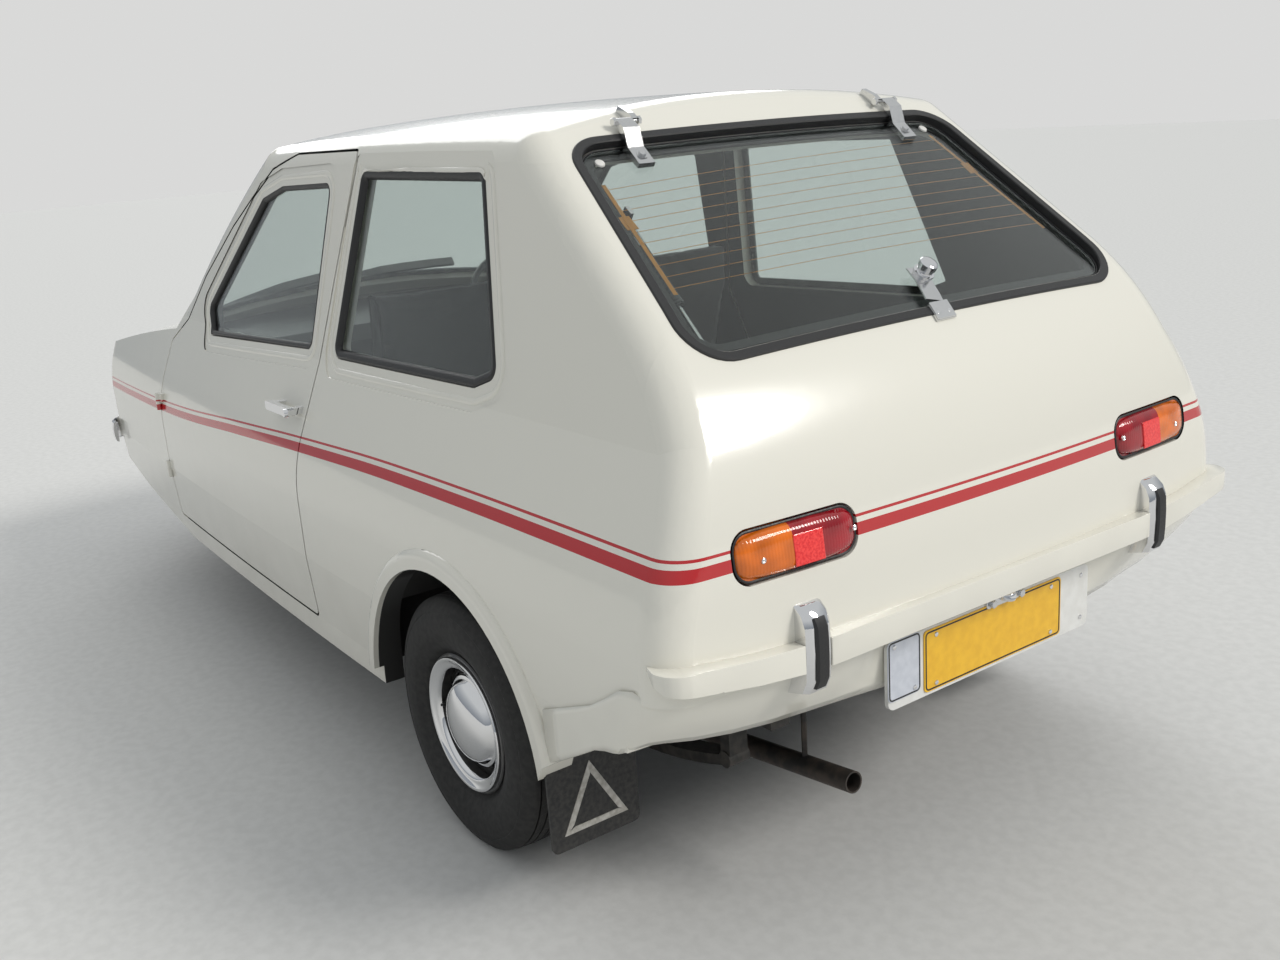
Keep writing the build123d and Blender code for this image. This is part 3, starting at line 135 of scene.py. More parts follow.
def new_finish(name, colour, roughness, metallic=0.0, coat=0.0):
    """A material with its colour and gloss set on the shader."""
    finish = bpy.data.materials.new(name)
    finish.use_nodes = True
    shader = finish.node_tree.nodes["Principled BSDF"]
    shader.inputs["Base Color"].default_value = (*colour, 1)
    shader.inputs["Roughness"].default_value = roughness
    shader.inputs["Metallic"].default_value = metallic
    shader.inputs["Coat Weight"].default_value = coat
    shader.inputs["Coat Roughness"].default_value = 0.04
    return finish


def feed(finish, socket, output):
    """The finish's shader takes this output at the socket."""
    finish.node_tree.links.new(output, finish.node_tree.nodes["Principled BSDF"].inputs[socket])


def spread(owner, level, low, high, to_low, to_high):
    """The level's run from low to high, carried over to another run."""
    sockets = {"Value": level, "From Min": low, "From Max": high, "To Min": to_low, "To Max": to_high}
    return add_node(owner, "MapRange", sockets).outputs["Result"]


def relief(finish, height, amount, depth):
    """Small heights pressed into a finish."""
    bump = add_node(finish, "Bump", {"Height": height, "Strength": amount, "Distance": depth})
    feed(finish, "Normal", bump.outputs["Normal"])


def noise_at(finish, place, scale, detail):
    """Soft noise at a place in the finish."""
    return add_node(finish, "TexNoise", {"Vector": place, "Scale": scale, "Detail": detail}).outputs["Fac"]


def grain(finish, scale, amount, depth=0.002, detail=3.0, stretch=(1, 1, 1)):
    """Fine relief over a finish, from noise in the object's own space; returns the noise."""
    place = add_node(finish, "TexCoord").outputs["Object"]
    fit = add_node(finish, "Mapping", {"Vector": place, "Scale": stretch}).outputs["Vector"]
    noise = noise_at(finish, fit, scale, detail)
    relief(finish, noise, amount, depth)
    return noise


def shade_between(finish, noise, first, second):
    """The base colour runs from the first to the second with the noise."""
    feed(finish, "Base Color", ramped(finish, noise, first, second, 0.35, 0.65))


def gloss_between(finish, noise, low, high):
    """The roughness runs from low to high with the noise."""
    feed(finish, "Roughness", spread(finish, noise, 0.3, 0.7, low, high))


floor_paint = new_finish("floor_paint", (0.62, 0.62, 0.61), 0.85)
shade_between(floor_paint, grain(floor_paint, 40, 0.1, 0.001), (0.6, 0.6, 0.59), (0.645, 0.645, 0.635))
floor_mesh = bpy.data.meshes.new("floor")
floor_mesh.from_pydata([(-30, -30, 0), (30, -30, 0), (30, 30, 0), (-30, 30, 0)], [], [(0, 1, 2, 3)])
floor_mesh.materials.append(floor_paint)
floor = bpy.data.objects.new("floor", floor_mesh)
scene.collection.objects.link(floor)

# Body panels: glass-fibre mouldings in cream gloss, with a thick and a thin red line all round
# at the height of the tail lamps, falling towards the nose. Their inner faces are black trim, and
# the insides of the rear arches are black, partly as underseal and partly as painted shade.
cream = (0.815, 0.795, 0.715)
line_red = (0.52, 0.018, 0.022)
trim_and_arch_shade_black = (0.022, 0.021, 0.02)
line_heights = ((-1.7, 0.704), (-0.81, 0.7), (-0.379, 0.683), (0.093, 0.654), (0.647, 0.615), (1.22, 0.592),
                (1.7, 0.58))
line_low, line_high = 0.5, 0.8
thick_line = (0, 0.0098)
thin_line = (0.0205, 0.0023)
body_middle = (-0.1, 0, 0.72)
cabin_front = 0.76
# Inside this reach of the rear arches the paint turns black: underseal with painted shade.
arch_middle = (-0.948, 0, 0.243)
arch_reach, arch_depth = 0.32, 0.7
inner_face = -0.12
dust_top, dust_foot = 0.52, 0.24
dust_colour = (0.6, 0.57, 0.5)

body_paint = new_finish("body_paint", cream, 0.22, coat=0.6)


def line_level(x):
    """The height of the red lines at each place along the car."""
    first, last = line_heights[0][0], line_heights[-1][0]
    drop = add_node(body_paint, "FloatCurve", {"Value": spread(body_paint, x, first, last, 0, 1)})
    curve = drop.mapping.curves[0]
    spots = [((along - first) / (last - first), (level - line_low) / (line_high - line_low))
             for along, level in line_heights]
    curve.points[0].location = spots[0]
    curve.points[1].location = spots[-1]
    for spot in spots[1:-1]:
        curve.points.new(*spot)
    drop.mapping.update()
    return spread(body_paint, drop.outputs["Value"], 0, 1, line_low, line_high)


def lining_and_arch_shade_share(place, x, y, z):
    """One on the black inner faces of the cabin and inside the rear arches, where the black is partly painted
    shade, and nought elsewhere.
    """
    paint = body_paint
    from_middle = add_node(paint, "VectorMath", {0: place["Object"], 1: body_middle}, operation="SUBTRACT")
    outward = add_node(paint, "VectorMath", {0: from_middle.outputs["Vector"], 1: place["Normal"]},
                       operation="DOT_PRODUCT").outputs["Value"]
    inside = reckoned(paint, "LESS_THAN", outward, inner_face)
    trimmed = reckoned(paint, "MULTIPLY", inside, reckoned(paint, "LESS_THAN", x, cabin_front))
    flat = add_node(paint, "CombineXYZ", {"X": x, "Z": z}).outputs["Vector"]
    # The rear arches: black as underseal and as painted shade.
    reach = add_node(paint, "VectorMath", {0: flat, 1: arch_middle}, operation="DISTANCE").outputs["Value"]
    near = reckoned(paint, "LESS_THAN", reach, arch_reach)
    deep = reckoned(paint, "LESS_THAN", reckoned(paint, "ABSOLUTE", y), arch_depth)
    return reckoned(paint, "MAXIMUM", trimmed, reckoned(paint, "MULTIPLY", near, deep))


def paint_body():
    """Wires the two lines, the dust low down, the black inner faces and the painted shade in the rear arches
    into the body paint.
    """
    paint = body_paint
    place = add_node(paint, "TexCoord").outputs
    x, y, z = add_node(paint, "SeparateXYZ", {"Vector": place["Object"]}).outputs
    above = reckoned(paint, "SUBTRACT", z, line_level(x))
    bands = [reckoned(paint, "COMPARE", above, middle, half) for middle, half in (thick_line, thin_line)]
    low_down = spread(paint, z, dust_top, dust_foot, 0, 1)
    dust = reckoned(paint, "MULTIPLY", low_down, noise_at(paint, place["Object"], 7, 6))
    tone = mixed(paint, dust, (*cream, 1), (*dust_colour, 1))
    lined = mixed(paint, reckoned(paint, "MAXIMUM", *bands), tone, (*line_red, 1))
    dark = lining_and_arch_shade_share(place, x, y, z)
    feed(paint, "Base Color", mixed(paint, dark, lined, (*trim_and_arch_shade_black, 1)))
    feed(paint, "Roughness", reckoned(paint, "MULTIPLY_ADD", dark, 0.45, 0.17))
    relief(paint, noise_at(paint, place["Object"], 9, 2), 0.12, 0.004)


paint_body()


def dress(finish, *names):
    """A CAD node keeps its shape and takes this finish."""
    for name in names:
        for slot in nodes[name].material_slots:
            slot.material = finish


dress(body_paint, "body_side_left", "body_side_right", "body_roof", "body_tail", "body_nose", "bonnet",
      "door_left", "door_right")
plain_paint = new_finish("plain_paint", cream, 0.2, coat=0.6)
shade_between(plain_paint, grain(plain_paint, 9, 0.12, 0.004, 2.0), (0.79, 0.77, 0.692), cream)

# Tail and rear bumper: the tail's fold under the bumper sits just below it, and the bumper is a
# narrow hollow moulding in the body's colour, bonded on, with every edge rounded for the mould.
fold_low, fold_high, fold_raised = 0.4845, 0.52, 0.513
bumper_foot, moulding_foot, moulding_share = 0.482, 0.513, 0.54


def reshaped(name, node, finish, move):
    """A copy of a CAD node's mesh with its points moved, which stands for the node."""
    mesh = nodes[node].data.copy()
    for vertex in mesh.vertices:
        vertex.co.z = move(vertex.co.z)
    mesh.materials.clear()
    mesh.materials.append(finish)
    piece = bpy.data.objects.new(name, mesh)
    scene.collection.objects.link(piece)
    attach(piece, "body")
    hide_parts(node)
    return piece


def raise_fold(z):
    """Heights near the fold are pressed up against the raised fold."""
    if fold_low <= z <= fold_high:
        return fold_raised + (z - fold_low) * (fold_high - fold_raised) / (fold_high - fold_low)
    return z


def narrow_bumper(z):
    """Heights on the bumper drawn together above its raised foot."""
    return moulding_foot + (z - bumper_foot) * moulding_share


def worked(piece, name, kind, **settings):
    """The piece takes a modifier with these settings."""
    modifier = piece.modifiers.new(name, kind)
    for setting, value in settings.items():
        setattr(modifier, setting, value)


reshaped("tail_moulding", "body_tail", body_paint, raise_fold)
bumper = reshaped("bumper_moulding", "rear_bumper", plain_paint, narrow_bumper)
shell = bmesh.new()
shell.from_mesh(bumper.data)
bmesh.ops.remove_doubles(shell, verts=shell.verts, dist=0.00002)
bmesh.ops.dissolve_limit(shell, angle_limit=radians(1.5), verts=shell.verts, edges=shell.edges)
shell.to_mesh(bumper.data)
shell.free()
worked(bumper, "round", "BEVEL", width=0.008, segments=3, angle_limit=radians(35), harden_normals=True)
bumper.data.shade_smooth()

# Window glass: flat toughened panes, faintly green and 5 mm thick, held in rubber in the body and
# the doors, or by two hinges where the pane is the hatch itself.
glass = new_finish("window_glass", (0.78, 0.84, 0.82), 0.015)
glass_inputs = glass.node_tree.nodes["Principled BSDF"].inputs
glass_inputs["Transmission Weight"].default_value = 1.0
glass_inputs["IOR"].default_value = 1.45
dress(glass, "door_window_left", "door_window_right", "quarter_windows", "windscreen", "hatch_glass")


def add_piece(name, spots, faces, finish, body, smooth=True):
    """A mesh of these points and faces, in its finish, riding on a body."""
    mesh = bpy.data.meshes.new(name)
    mesh.from_pydata([tuple(spot) for spot in spots], [], faces)
    shell = bmesh.new()
    shell.from_mesh(mesh)
    bmesh.ops.remove_doubles(shell, verts=shell.verts, dist=0.000002)
    bmesh.ops.recalc_face_normals(shell, faces=shell.faces)
    shell.to_mesh(mesh)
    shell.free()
    mesh.materials.append(finish)
    if smooth:
        mesh.shade_smooth()
    piece = bpy.data.objects.new(name, mesh)
    scene.collection.objects.link(piece)
    if smooth:
        worked(piece, "edge", "EDGE_SPLIT", split_angle=radians(38))
    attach(piece, body)
    return piece


def strips(rows, wide, closed=False, ring=True):
    """Faces between neighbouring rows of points, which run round in rings or lie open."""
    faces = []
    for row in range(rows if closed else rows - 1):
        here, there = row * wide, (row + 1) % rows * wide
        for corner in range(wide if ring else wide - 1):
            on = (corner + 1) % wide
            faces.append((here + corner, here + on, there + on, there + corner))
    return faces


def rounded(corners, radius, steps=7):
    """A flat outline with each corner turned to an arc."""
    spots = []
    for index, corner in enumerate(corners):
        corner = Vector(corner)
        back = (Vector(corners[index - 1]) - corner).normalized()
        on = (Vector(corners[(index + 1) % len(corners)]) - corner).normalized()
        half = back.angle(on) / 2
        middle = corner + (back + on).normalized() * (radius / sin(half))
        start = corner + back * (radius / tan(half)) - middle
        end = corner + on * (radius / tan(half)) - middle
        turn = start.angle_signed(end)
        for step in range(steps + 1):
            angle = turn * step / steps
            spots.append(middle + Vector((start.x * cos(angle) + start.y * sin(angle),
                                          start.y * cos(angle) - start.x * sin(angle))))
    return spots


def rectangle(wide, high, radius, steps=7):
    """A rounded rectangle of these half sizes about the middle."""
    return rounded(((-wide, -high), (wide, -high), (wide, high), (-wide, high)), radius, steps)


def filled(spots, gap):
    """Extra points along an outline's long runs, so that it can lie on a curved panel."""
    full = []
    for index, spot in enumerate(spots):
        after = spots[(index + 1) % len(spots)]
        parts = max(1, int((after - spot).length / gap))
        full += [spot.lerp(after, part / parts) for part in range(parts)]
    return full


def drawn_in(spots, reach):
    """The outline moved inwards by reach, or outwards where reach is negative."""
    middle = sum(spots, Vector((0, 0))) / len(spots)
    moved = []
    for index, spot in enumerate(spots):
        run = (spots[(index + 1) % len(spots)] - spots[index - 1]).normalized()
        side = Vector((-run.y, run.x))
        if side.dot(middle - spot) < 0:
            side = -side
        moved.append(spot + side * reach)
    return moved


def surface_of(*names):
    """The named CAD nodes as one surface to lay things on."""
    spots, faces = [], []
    for name in names:
        base = len(spots)
        spots += [vertex.co.copy() for vertex in nodes[name].data.vertices]
        faces += [[base + corner for corner in face.vertices] for face in nodes[name].data.polygons]
    return BVHTree.FromPolygons(spots, faces)


def middle_of(path):
    """The middle of a path's points."""
    return sum(path, Vector()) / len(path)


def laid_on(surface, spots, way):
    """Where straight lines from these points meet a surface, and which way it faces there."""
    places, faces_out = [], []
    for spot in spots:
        place, out, _, _ = surface.ray_cast(spot, way)
        if place is None:
            place, out, _, _ = surface.find_nearest(spot + way * 0.25)
        if out.dot(way) > 0:
            out = -out
        places.append(place)
        faces_out.append(out)
    smooth_out = []
    for index in range(len(faces_out)):
        around = [faces_out[(index + step) % len(faces_out)] for step in (-2, -1, 0, 1, 2)]
        smooth_out.append(sum(around, Vector()).normalized())
    return places, smooth_out


def moulding(name, path, outs, section, finish, body, closed=True, toward=None, smooth=True):
    """Carries a section along a path: its first number runs across, its second out of the surface."""
    rings = []
    for index, here in enumerate(path):
        before = path[index - 1] if closed or index else here
        after = path[(index + 1) % len(path)] if closed or index < len(path) - 1 else here
        run = (after - before).normalized()
        out = (outs[index] - run * outs[index].dot(run)).normalized()
        across = out.cross(run)
        if toward and across.dot(toward - here) < 0:
            across = -across
        rings.append([here + across * reach + out * height for reach, height in section])
    spots = [spot for ring in rings for spot in ring]
    faces = strips(len(rings), len(section), closed)
    if not closed:
        faces += [tuple(range(len(section))), tuple(range(len(spots) - len(section), len(spots)))]
    return add_piece(name, spots, faces, finish, body, smooth)


# Window rubbers: black extruded seals that hold the quarter windows, the windscreen and the door
# glasses in their openings, with a soft rounded lip over the glass.
rubber = new_finish("window_rubber", (0.018, 0.018, 0.019), 0.42)
gloss_between(rubber, grain(rubber, 420, 0.25, 0.0008), 0.34, 0.55)
door_glass_corners = ((-0.231, 0.874), (-0.274, 1.229), (0.02, 1.219), (0.15, 1.19), (0.528, 0.905),
                      (0.484, 0.835))
quarter_glass_corners = ((-0.432, 1.253), (-0.942, 1.251), (-1.047, 0.911), (-0.972, 0.885), (-0.356, 0.87))
thick_lip = ((-0.003, 0), (-0.003, 0.0085), (0.002, 0.0115), (0.009, 0.0105), (0.0145, 0.006), (0.016, 0))
thin_lip = ((-0.003, 0), (-0.003, 0.007), (0.001, 0.009), (0.005, 0.008), (0.0085, 0.004), (0.0095, 0))
sides = (("left", 1), ("right", -1))
side_panes = (("quarter", quarter_glass_corners, thick_lip), ("door", door_glass_corners, thin_lip))


def round_window(corners, radius, reach, side, *panels):
    """A line at this reach inside a side window's edge, laid on the panels or the pane."""
    edge = drawn_in(filled(rounded(corners, radius), 0.03), reach)
    starts = [Vector((spot.x, side * 0.9, spot.y)) for spot in edge]
    return laid_on(surface_of(*panels), starts, Vector((0, -side, 0)))


for kind, corners, lip in side_panes:
    for word, side in sides:
        pane = "quarter_windows" if kind == "quarter" else f"door_window_{word}"
        body = "body" if kind == "quarter" else f"door_{word}"
        path, outs = round_window(corners, 0.026, 0.003, side, pane)
        seal = moulding(f"{kind}_rubber_{word}", path, outs, lip, rubber, body, toward=middle_of(path))

screen_turn = radians(33)
screen_down = Vector((cos(screen_turn), 0, -sin(screen_turn)))
screen_out = Vector((sin(screen_turn), 0, cos(screen_turn)))
screen_middle = Vector((0.5, 0, 1.085))
screen_corners = ((0.355, -0.548), (0.355, 0.548), (-0.335, 0.425), (-0.335, -0.425))
edge = drawn_in(filled(rounded(screen_corners, 0.055), 0.03), 0.003)
starts = [screen_middle + screen_down * spot.x + Vector((0, spot.y, 0)) + screen_out * 0.3 for spot in edge]
path, outs = laid_on(surface_of("windscreen"), starts, -screen_out)
seal = moulding("windscreen_rubber", path, outs, thick_lip, rubber, "body", toward=middle_of(path))

# Window beads: raised lines in the panels round the side windows, in the body's colour, as the
# glass-fibre panels come out of their moulds.
bead_section = ((-0.0065, -0.001), (-0.0065, 0.0002), (-0.0035, 0.0024), (0.0035, 0.0024), (0.0065, 0.0002),
                (0.0065, -0.001))
bead_reach = {"quarter": -0.024, "door": -0.02}
for kind, corners, _ in side_panes:
    for word, side in sides:
        panels = (f"body_side_{word}", "body_tail") if kind == "quarter" else (f"door_{word}",)
        body = "body" if kind == "quarter" else f"door_{word}"
        path, outs = round_window(corners, 0.03, bead_reach[kind], side, *panels)
        moulding(f"{kind}_bead_{word}", path, outs, bead_section, plain_paint, body)

# Hatch glass: a frameless toughened pane that closes on a black sponge seal. A printed heater with
# two copper-coloured bus bars runs over its inner face, and white nylon studs show at its top corners.
slope_turn = radians(37)
slope_down = Vector((-cos(slope_turn), 0, -sin(slope_turn)))
slope_out = Vector((-sin(slope_turn), 0, cos(slope_turn)))
hinge_line = Vector((-1.091416, 0, 1.317771))


def on_slope(s, y, d=0.0):
    """The place s down the hatch from its pins, y across and d out of it."""
    return hinge_line + slope_down * s + Vector((0, y, 0)) + slope_out * d


pane_corners = ((0.039, -0.434), (0.519, -0.497), (0.519, 0.497), (0.039, 0.434))
pane_edge = filled(rounded(pane_corners, 0.055, 10), 0.02)
pane_surface = surface_of("hatch_glass")
under_edge = drawn_in(pane_edge, 0.006)
starts = [on_slope(spot.x, spot.y, 0.2) for spot in under_edge]
path, outs = laid_on(pane_surface, starts, -slope_out)
outs = [slope_out] * len(path)
pane_middle = middle_of(path)
under_seal = ((-0.009, -0.01), (-0.009, -0.0056), (0, -0.0052), (0.013, -0.0056), (0.013, -0.01))
moulding("hatch_under_seal", path, outs, under_seal, rubber, "body", toward=pane_middle)
edge_seal = ((-0.0115, -0.008), (-0.0115, -0.0005), (-0.0098, 0.0016), (-0.0078, 0.001), (-0.007, -0.002),
             (-0.007, -0.008))
moulding("hatch_edge_seal", path, outs, edge_seal, rubber, "body", toward=pane_middle)

shell_skin = surface_of("body_tail", "body_roof", "body_side_left", "body_side_right")
ring_line = drawn_in(pane_edge, -0.0135)
path, outs = laid_on(shell_skin, [on_slope(spot.x, spot.y, 0.2) for spot in ring_line], -slope_out)
outs = [slope_out] * len(path)
ring_section = ((0.008, -0.013), (0.008, 0.0008), (0.0062, 0.0024), (-0.008, 0.0024), (-0.01, 0.0008),
                (-0.0104, -0.003), (0, -0.003))
moulding("hatch_ring", path, outs, ring_section, rubber, "body", toward=pane_middle)

copper = new_finish("heater_copper", (0.62, 0.27, 0.035), 0.42, metallic=0.25)
gloss_between(copper, grain(copper, 300, 0.3, 0.0004), 0.3, 0.55)


def flat_strip(name, ends, width, thick, finish, body, lift):
    """A thin strip on the glass's inner face, along points given as (s, y)."""
    starts = [on_slope(s, y, 0.2) for s, y in ends]
    path, outs = laid_on(pane_surface, starts, -slope_out)
    section = ((-width / 2, lift), (width / 2, lift), (width / 2, lift - thick), (-width / 2, lift - thick))
    return moulding(name, path, outs, section, finish, body, closed=False, smooth=False)


bus_bars = (("left", ((0.118, 0.424), (0.385, 0.45))), ("right", ((0.078, -0.398), (0.378, -0.452))))
for side, ends in bus_bars:
    first, last = Vector(ends[0]), Vector(ends[1])
    spots = [tuple(first.lerp(last, part / 8)) for part in range(9)]
    flat_strip(f"heater_bar_{side}", spots, 0.0075, 0.0006, copper, "hatch", -0.0052)
    middle = first.lerp(last, 0.36)
    cross = [(middle.x - 0.016, middle.y), (middle.x, middle.y), (middle.x + 0.016, middle.y)]
    flat_strip(f"heater_tab_{side}", cross, 0.022, 0.0012, copper, "hatch", -0.0056)
for row in range(10):
    share = (row + 0.5) / 10
    left = Vector(bus_bars[0][1][0]).lerp(Vector(bus_bars[0][1][1]), share)
    other = Vector(bus_bars[1][1][0]).lerp(Vector(bus_bars[1][1][1]), share)
    spots = [tuple(left.lerp(other, part / 6)) for part in range(7)]
    flat_strip(f"heater_line_{row}", spots, 0.0011, 0.0002, copper, "hatch", -0.0052)


def turned(name, outline, place, way, finish, body, steps=40, smooth=True):
    """Turns an outline of (distance along the way, radius) about a line through the place."""
    way = way.normalized()
    side = way.orthogonal().normalized()
    other = way.cross(side)
    spots = []
    for reach, radius in outline:
        for step in range(steps):
            angle = 2 * pi * step / steps
            around = side * cos(angle) + other * sin(angle)
            spots.append(place + way * reach + around * max(radius, 0.0000001))
    return add_piece(name, spots, strips(len(outline), steps), finish, body, smooth)


white_nylon = new_finish("white_nylon", (0.74, 0.73, 0.7), 0.4)
grain(white_nylon, 500, 0.15, 0.0004)
stud_outline = ((0.004, 0), (0.004, 0.004), (0.0025, 0.0085), (-0.001, 0.0095), (-0.001, 0))
for side, s, y in (("left", 0.068, 0.402), ("right", 0.06, -0.392)):
    spot, out = laid_on(pane_surface, [on_slope(s, y, 0.2)], -slope_out)
    turned(f"hatch_stud_{side}", stud_outline, spot[0], out[0], white_nylon, "hatch", 24)

# Hatch hinges: folded stainless straps that clamp the glass with one bolt each, turning on
# barrels with hexagon ends on the roof's rear edge.
bright = new_finish("bright_steel", (0.7, 0.7, 0.7), 0.16, metallic=1.0)
gloss_between(bright, grain(bright, 160, 0.06, 0.0006, stretch=(1, 6, 1)), 0.1, 0.24)
chrome = new_finish("chrome_plate", (0.8, 0.8, 0.81), 0.05, metallic=1.0)
gloss_between(chrome, grain(chrome, 60, 0.02, 0.0006), 0.03, 0.09)
dress(bright, "hatch_fittings", "hatch_brackets", "strut_rod")
nut_outline = ((-0.0005, 0), (-0.0005, 0.0076), (0.005, 0.008), (0.0062, 0.0068), (0.0062, 0))
bolt_outline = ((0, 0), (0, 0.0105), (0.0012, 0.0105), (0.0012, 0.0068), (0.0052, 0.0068),
                (0.006, 0.0058), (0.006, 0))
barrel_ends = {"left": (0.293, 0.339), "right": (-0.339, -0.2927)}
for word, side in sides:
    low, high = barrel_ends[word]
    for end, y, way in (("outer", high + 0.0004, 1), ("inner", low - 0.0004, -1)):
        place, out = hinge_line + Vector((0, y, 0)), Vector((0, way, 0))
        nut = turned(f"hinge_nut_{end}_{word}", nut_outline, place, out, bright, "body", 6, False)
    place = on_slope(0.072, side * 0.322, -0.0166)
    bolt = turned(f"hinge_bolt_{word}", bolt_outline, place, slope_out, bright, "hatch", 6, False)

# Hatch latch: a turned chrome knob passes through the glass into a folded stainless angle, which
# meets a foot screwed to the tail.
knob_place = on_slope(0.455, -0.028, -0.01)
knob_outline = [(0, 0), (0, 0.019), (0.003, 0.019), (0.004, 0.0145), (0.012, 0.0145), (0.013, 0.0165)]
knob_outline += [(0.022, 0.0165), (0.0235, 0.0148), (0.025, 0.0095), (0.0255, 0)]
knob = turned("latch_knob", knob_outline, knob_place, slope_out, chrome, "hatch", 36)
angle_section = ((-0.017, 0), (-0.017, 0.003), (0.017, 0.003), (0.017, 0))
angle_path = [on_slope(0.44, -0.018, -0.0128), on_slope(0.47, -0.014, -0.0125),
              on_slope(0.5, -0.006, -0.013), on_slope(0.518, 0.0, -0.0135)]
angle = moulding("latch_angle", angle_path, [slope_out] * 4, angle_section, bright, "hatch", closed=False)
foot_path = [on_slope(0.526, 0.0, -0.015), on_slope(0.54, 0.0, -0.0175), on_slope(0.556, 0.0, -0.0215)]
foot_section = ((-0.023, 0), (-0.023, 0.004), (0.023, 0.004), (0.023, 0))
foot = moulding("latch_foot", foot_path, [slope_out] * 3, foot_section, bright, "body", closed=False)
latch_screw = ((0, 0), (0, 0.005), (0.002, 0.0042), (0.003, 0))
for word, y in (("a", -0.014), ("b", 0.014)):
    place = on_slope(0.543, y, -0.0142)
    turned(f"latch_screw_{word}", latch_screw, place, slope_out, chrome, "body", 20)

# Gas strut: a black painted tube with a small silver label near its top, a bright rod, chrome ball
# joints at both ends and a rubber boot at its foot.
strut_black = new_finish("strut_black", (0.028, 0.028, 0.03), 0.22, coat=0.6)
gloss_between(strut_black, grain(strut_black, 200, 0.08, 0.0005), 0.2, 0.36)
dress(strut_black, "strut_tube")
strut_top = Vector((-1.206666, 0.422, 1.163308))
strut_way = Vector((-0.727044, 0, -0.68659))
label = new_finish("strut_label", (0.55, 0.56, 0.58), 0.35, metallic=0.6)
gloss_between(label, grain(label, 260, 0.1, 0.0003), 0.3, 0.5)
label_outline = ((0.03, 0.011), (0.03, 0.0113), (0.066, 0.0113), (0.066, 0.011))
turned("strut_label", label_outline, strut_top, strut_way, label, "strut_tube", 32)
lip_outline = ((0.186, 0.0106), (0.187, 0.0118), (0.19, 0.0118), (0.1925, 0.0085), (0.1925, 0.0043))
turned("strut_lip", lip_outline, strut_top, strut_way, strut_black, "strut_tube", 32)
ball = [(0.008 * sin(radians(turn)), 0.008 * cos(radians(turn))) for turn in range(-80, 91, 17)]
ball_place = strut_top + Vector((0, 0.01, 0))
turned("strut_ball", ball, ball_place, Vector((0, 1, 0)), chrome, "hatch", 24)
strut_foot = strut_top + strut_way * 0.30689
boot = ((-0.034, 0.0046), (-0.033, 0.0075), (-0.02, 0.0085), (-0.012, 0.0102), (-0.004, 0.0098),
        (0.004, 0.006), (0.006, 0))
boot_place = strut_foot - strut_way * 0.004
turned("strut_boot", boot, boot_place, strut_way, rubber, "strut_rod", 28)

# Tyres: cross-ply road tyres with straight grooves round the tread, fine cuts in the ribs and
# raised rings on the side walls. The rubber is dark and slightly dusty.
tyre_rubber = new_finish("tyre_rubber", (0.022, 0.021, 0.02), 0.72)
shade_between(tyre_rubber, grain(tyre_rubber, 90, 0.35, 0.0012), (0.012, 0.0118, 0.0115),
              (0.024, 0.023, 0.022))
wall = [(0.0437, 0.1273), (0.0437, 0.139), (0.05, 0.1465), (0.0525, 0.148), (0.0545, 0.152), (0.0605, 0.163),
        (0.0632, 0.172), (0.0644, 0.1745), (0.0646, 0.1775), (0.0652, 0.18), (0.066, 0.194), (0.0655, 0.204),
        (0.064, 0.215), (0.0622, 0.2195), (0.063, 0.2215), (0.0605, 0.228), (0.056, 0.236), (0.05, 0.2432),
        (0.0465, 0.2462)]
tread_radius, shoulder = 0.25, 0.047


def crown_at(reach, radius):
    """The tread's radius at this reach from the tyre's middle, which falls towards the shoulders."""
    return radius - 0.0034 * (reach / shoulder) ** 2


tread = []
groove_edges = (0.04, 0.0365, 0.0235, 0.02, 0.006, 0.0025)
for index, reach in enumerate(groove_edges):
    crown = crown_at(reach, tread_radius)
    groove = crown - 0.0065
    tread += [(reach, crown), (reach, groove)] if index % 2 == 0 else [(reach, groove), (reach, crown)]
half_tyre = wall + tread
tyre_outline = half_tyre + [(-reach, radius) for reach, radius in reversed(half_tyre)]
wheel_rows = []
for name, side in (("rear_left", 1), ("rear_right", -1), ("front", -1)):
    low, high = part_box(f"tyre_{name}")
    wheel_rows.append((name, (Vector(low) + Vector(high)) / 2, side, f"wheel_{name}"))
for name, place, side, body in wheel_rows:
    tyre = turned(f"road_tyre_{name}", tyre_outline, place, Vector((0, side, 0)), tyre_rubber, body, 80)
    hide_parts(f"tyre_{name}")
    cuts, faces = [], []
    for step in range(60):
        angle = 2 * pi * step / 60
        for reach, lean in ((0.03, 1), (0.013, -1), (-0.013, 1), (-0.03, -1)):
            base = len(cuts)
            for along, wide in ((-0.0062, -0.0006), (-0.0062, 0.0006), (0.0062, 0.0006), (0.0062, -0.0006)):
                turn = angle + (wide + lean * along * 0.5) / tread_radius
                radius = crown_at(reach + along, tread_radius + 0.0003)
                cuts.append(place + Vector((radius * cos(turn), side * (reach + along), radius * sin(turn))))
            faces.append((base, base + 1, base + 2, base + 3))
    add_piece(f"tread_cuts_{name}", cuts, faces, rubber, body, False)

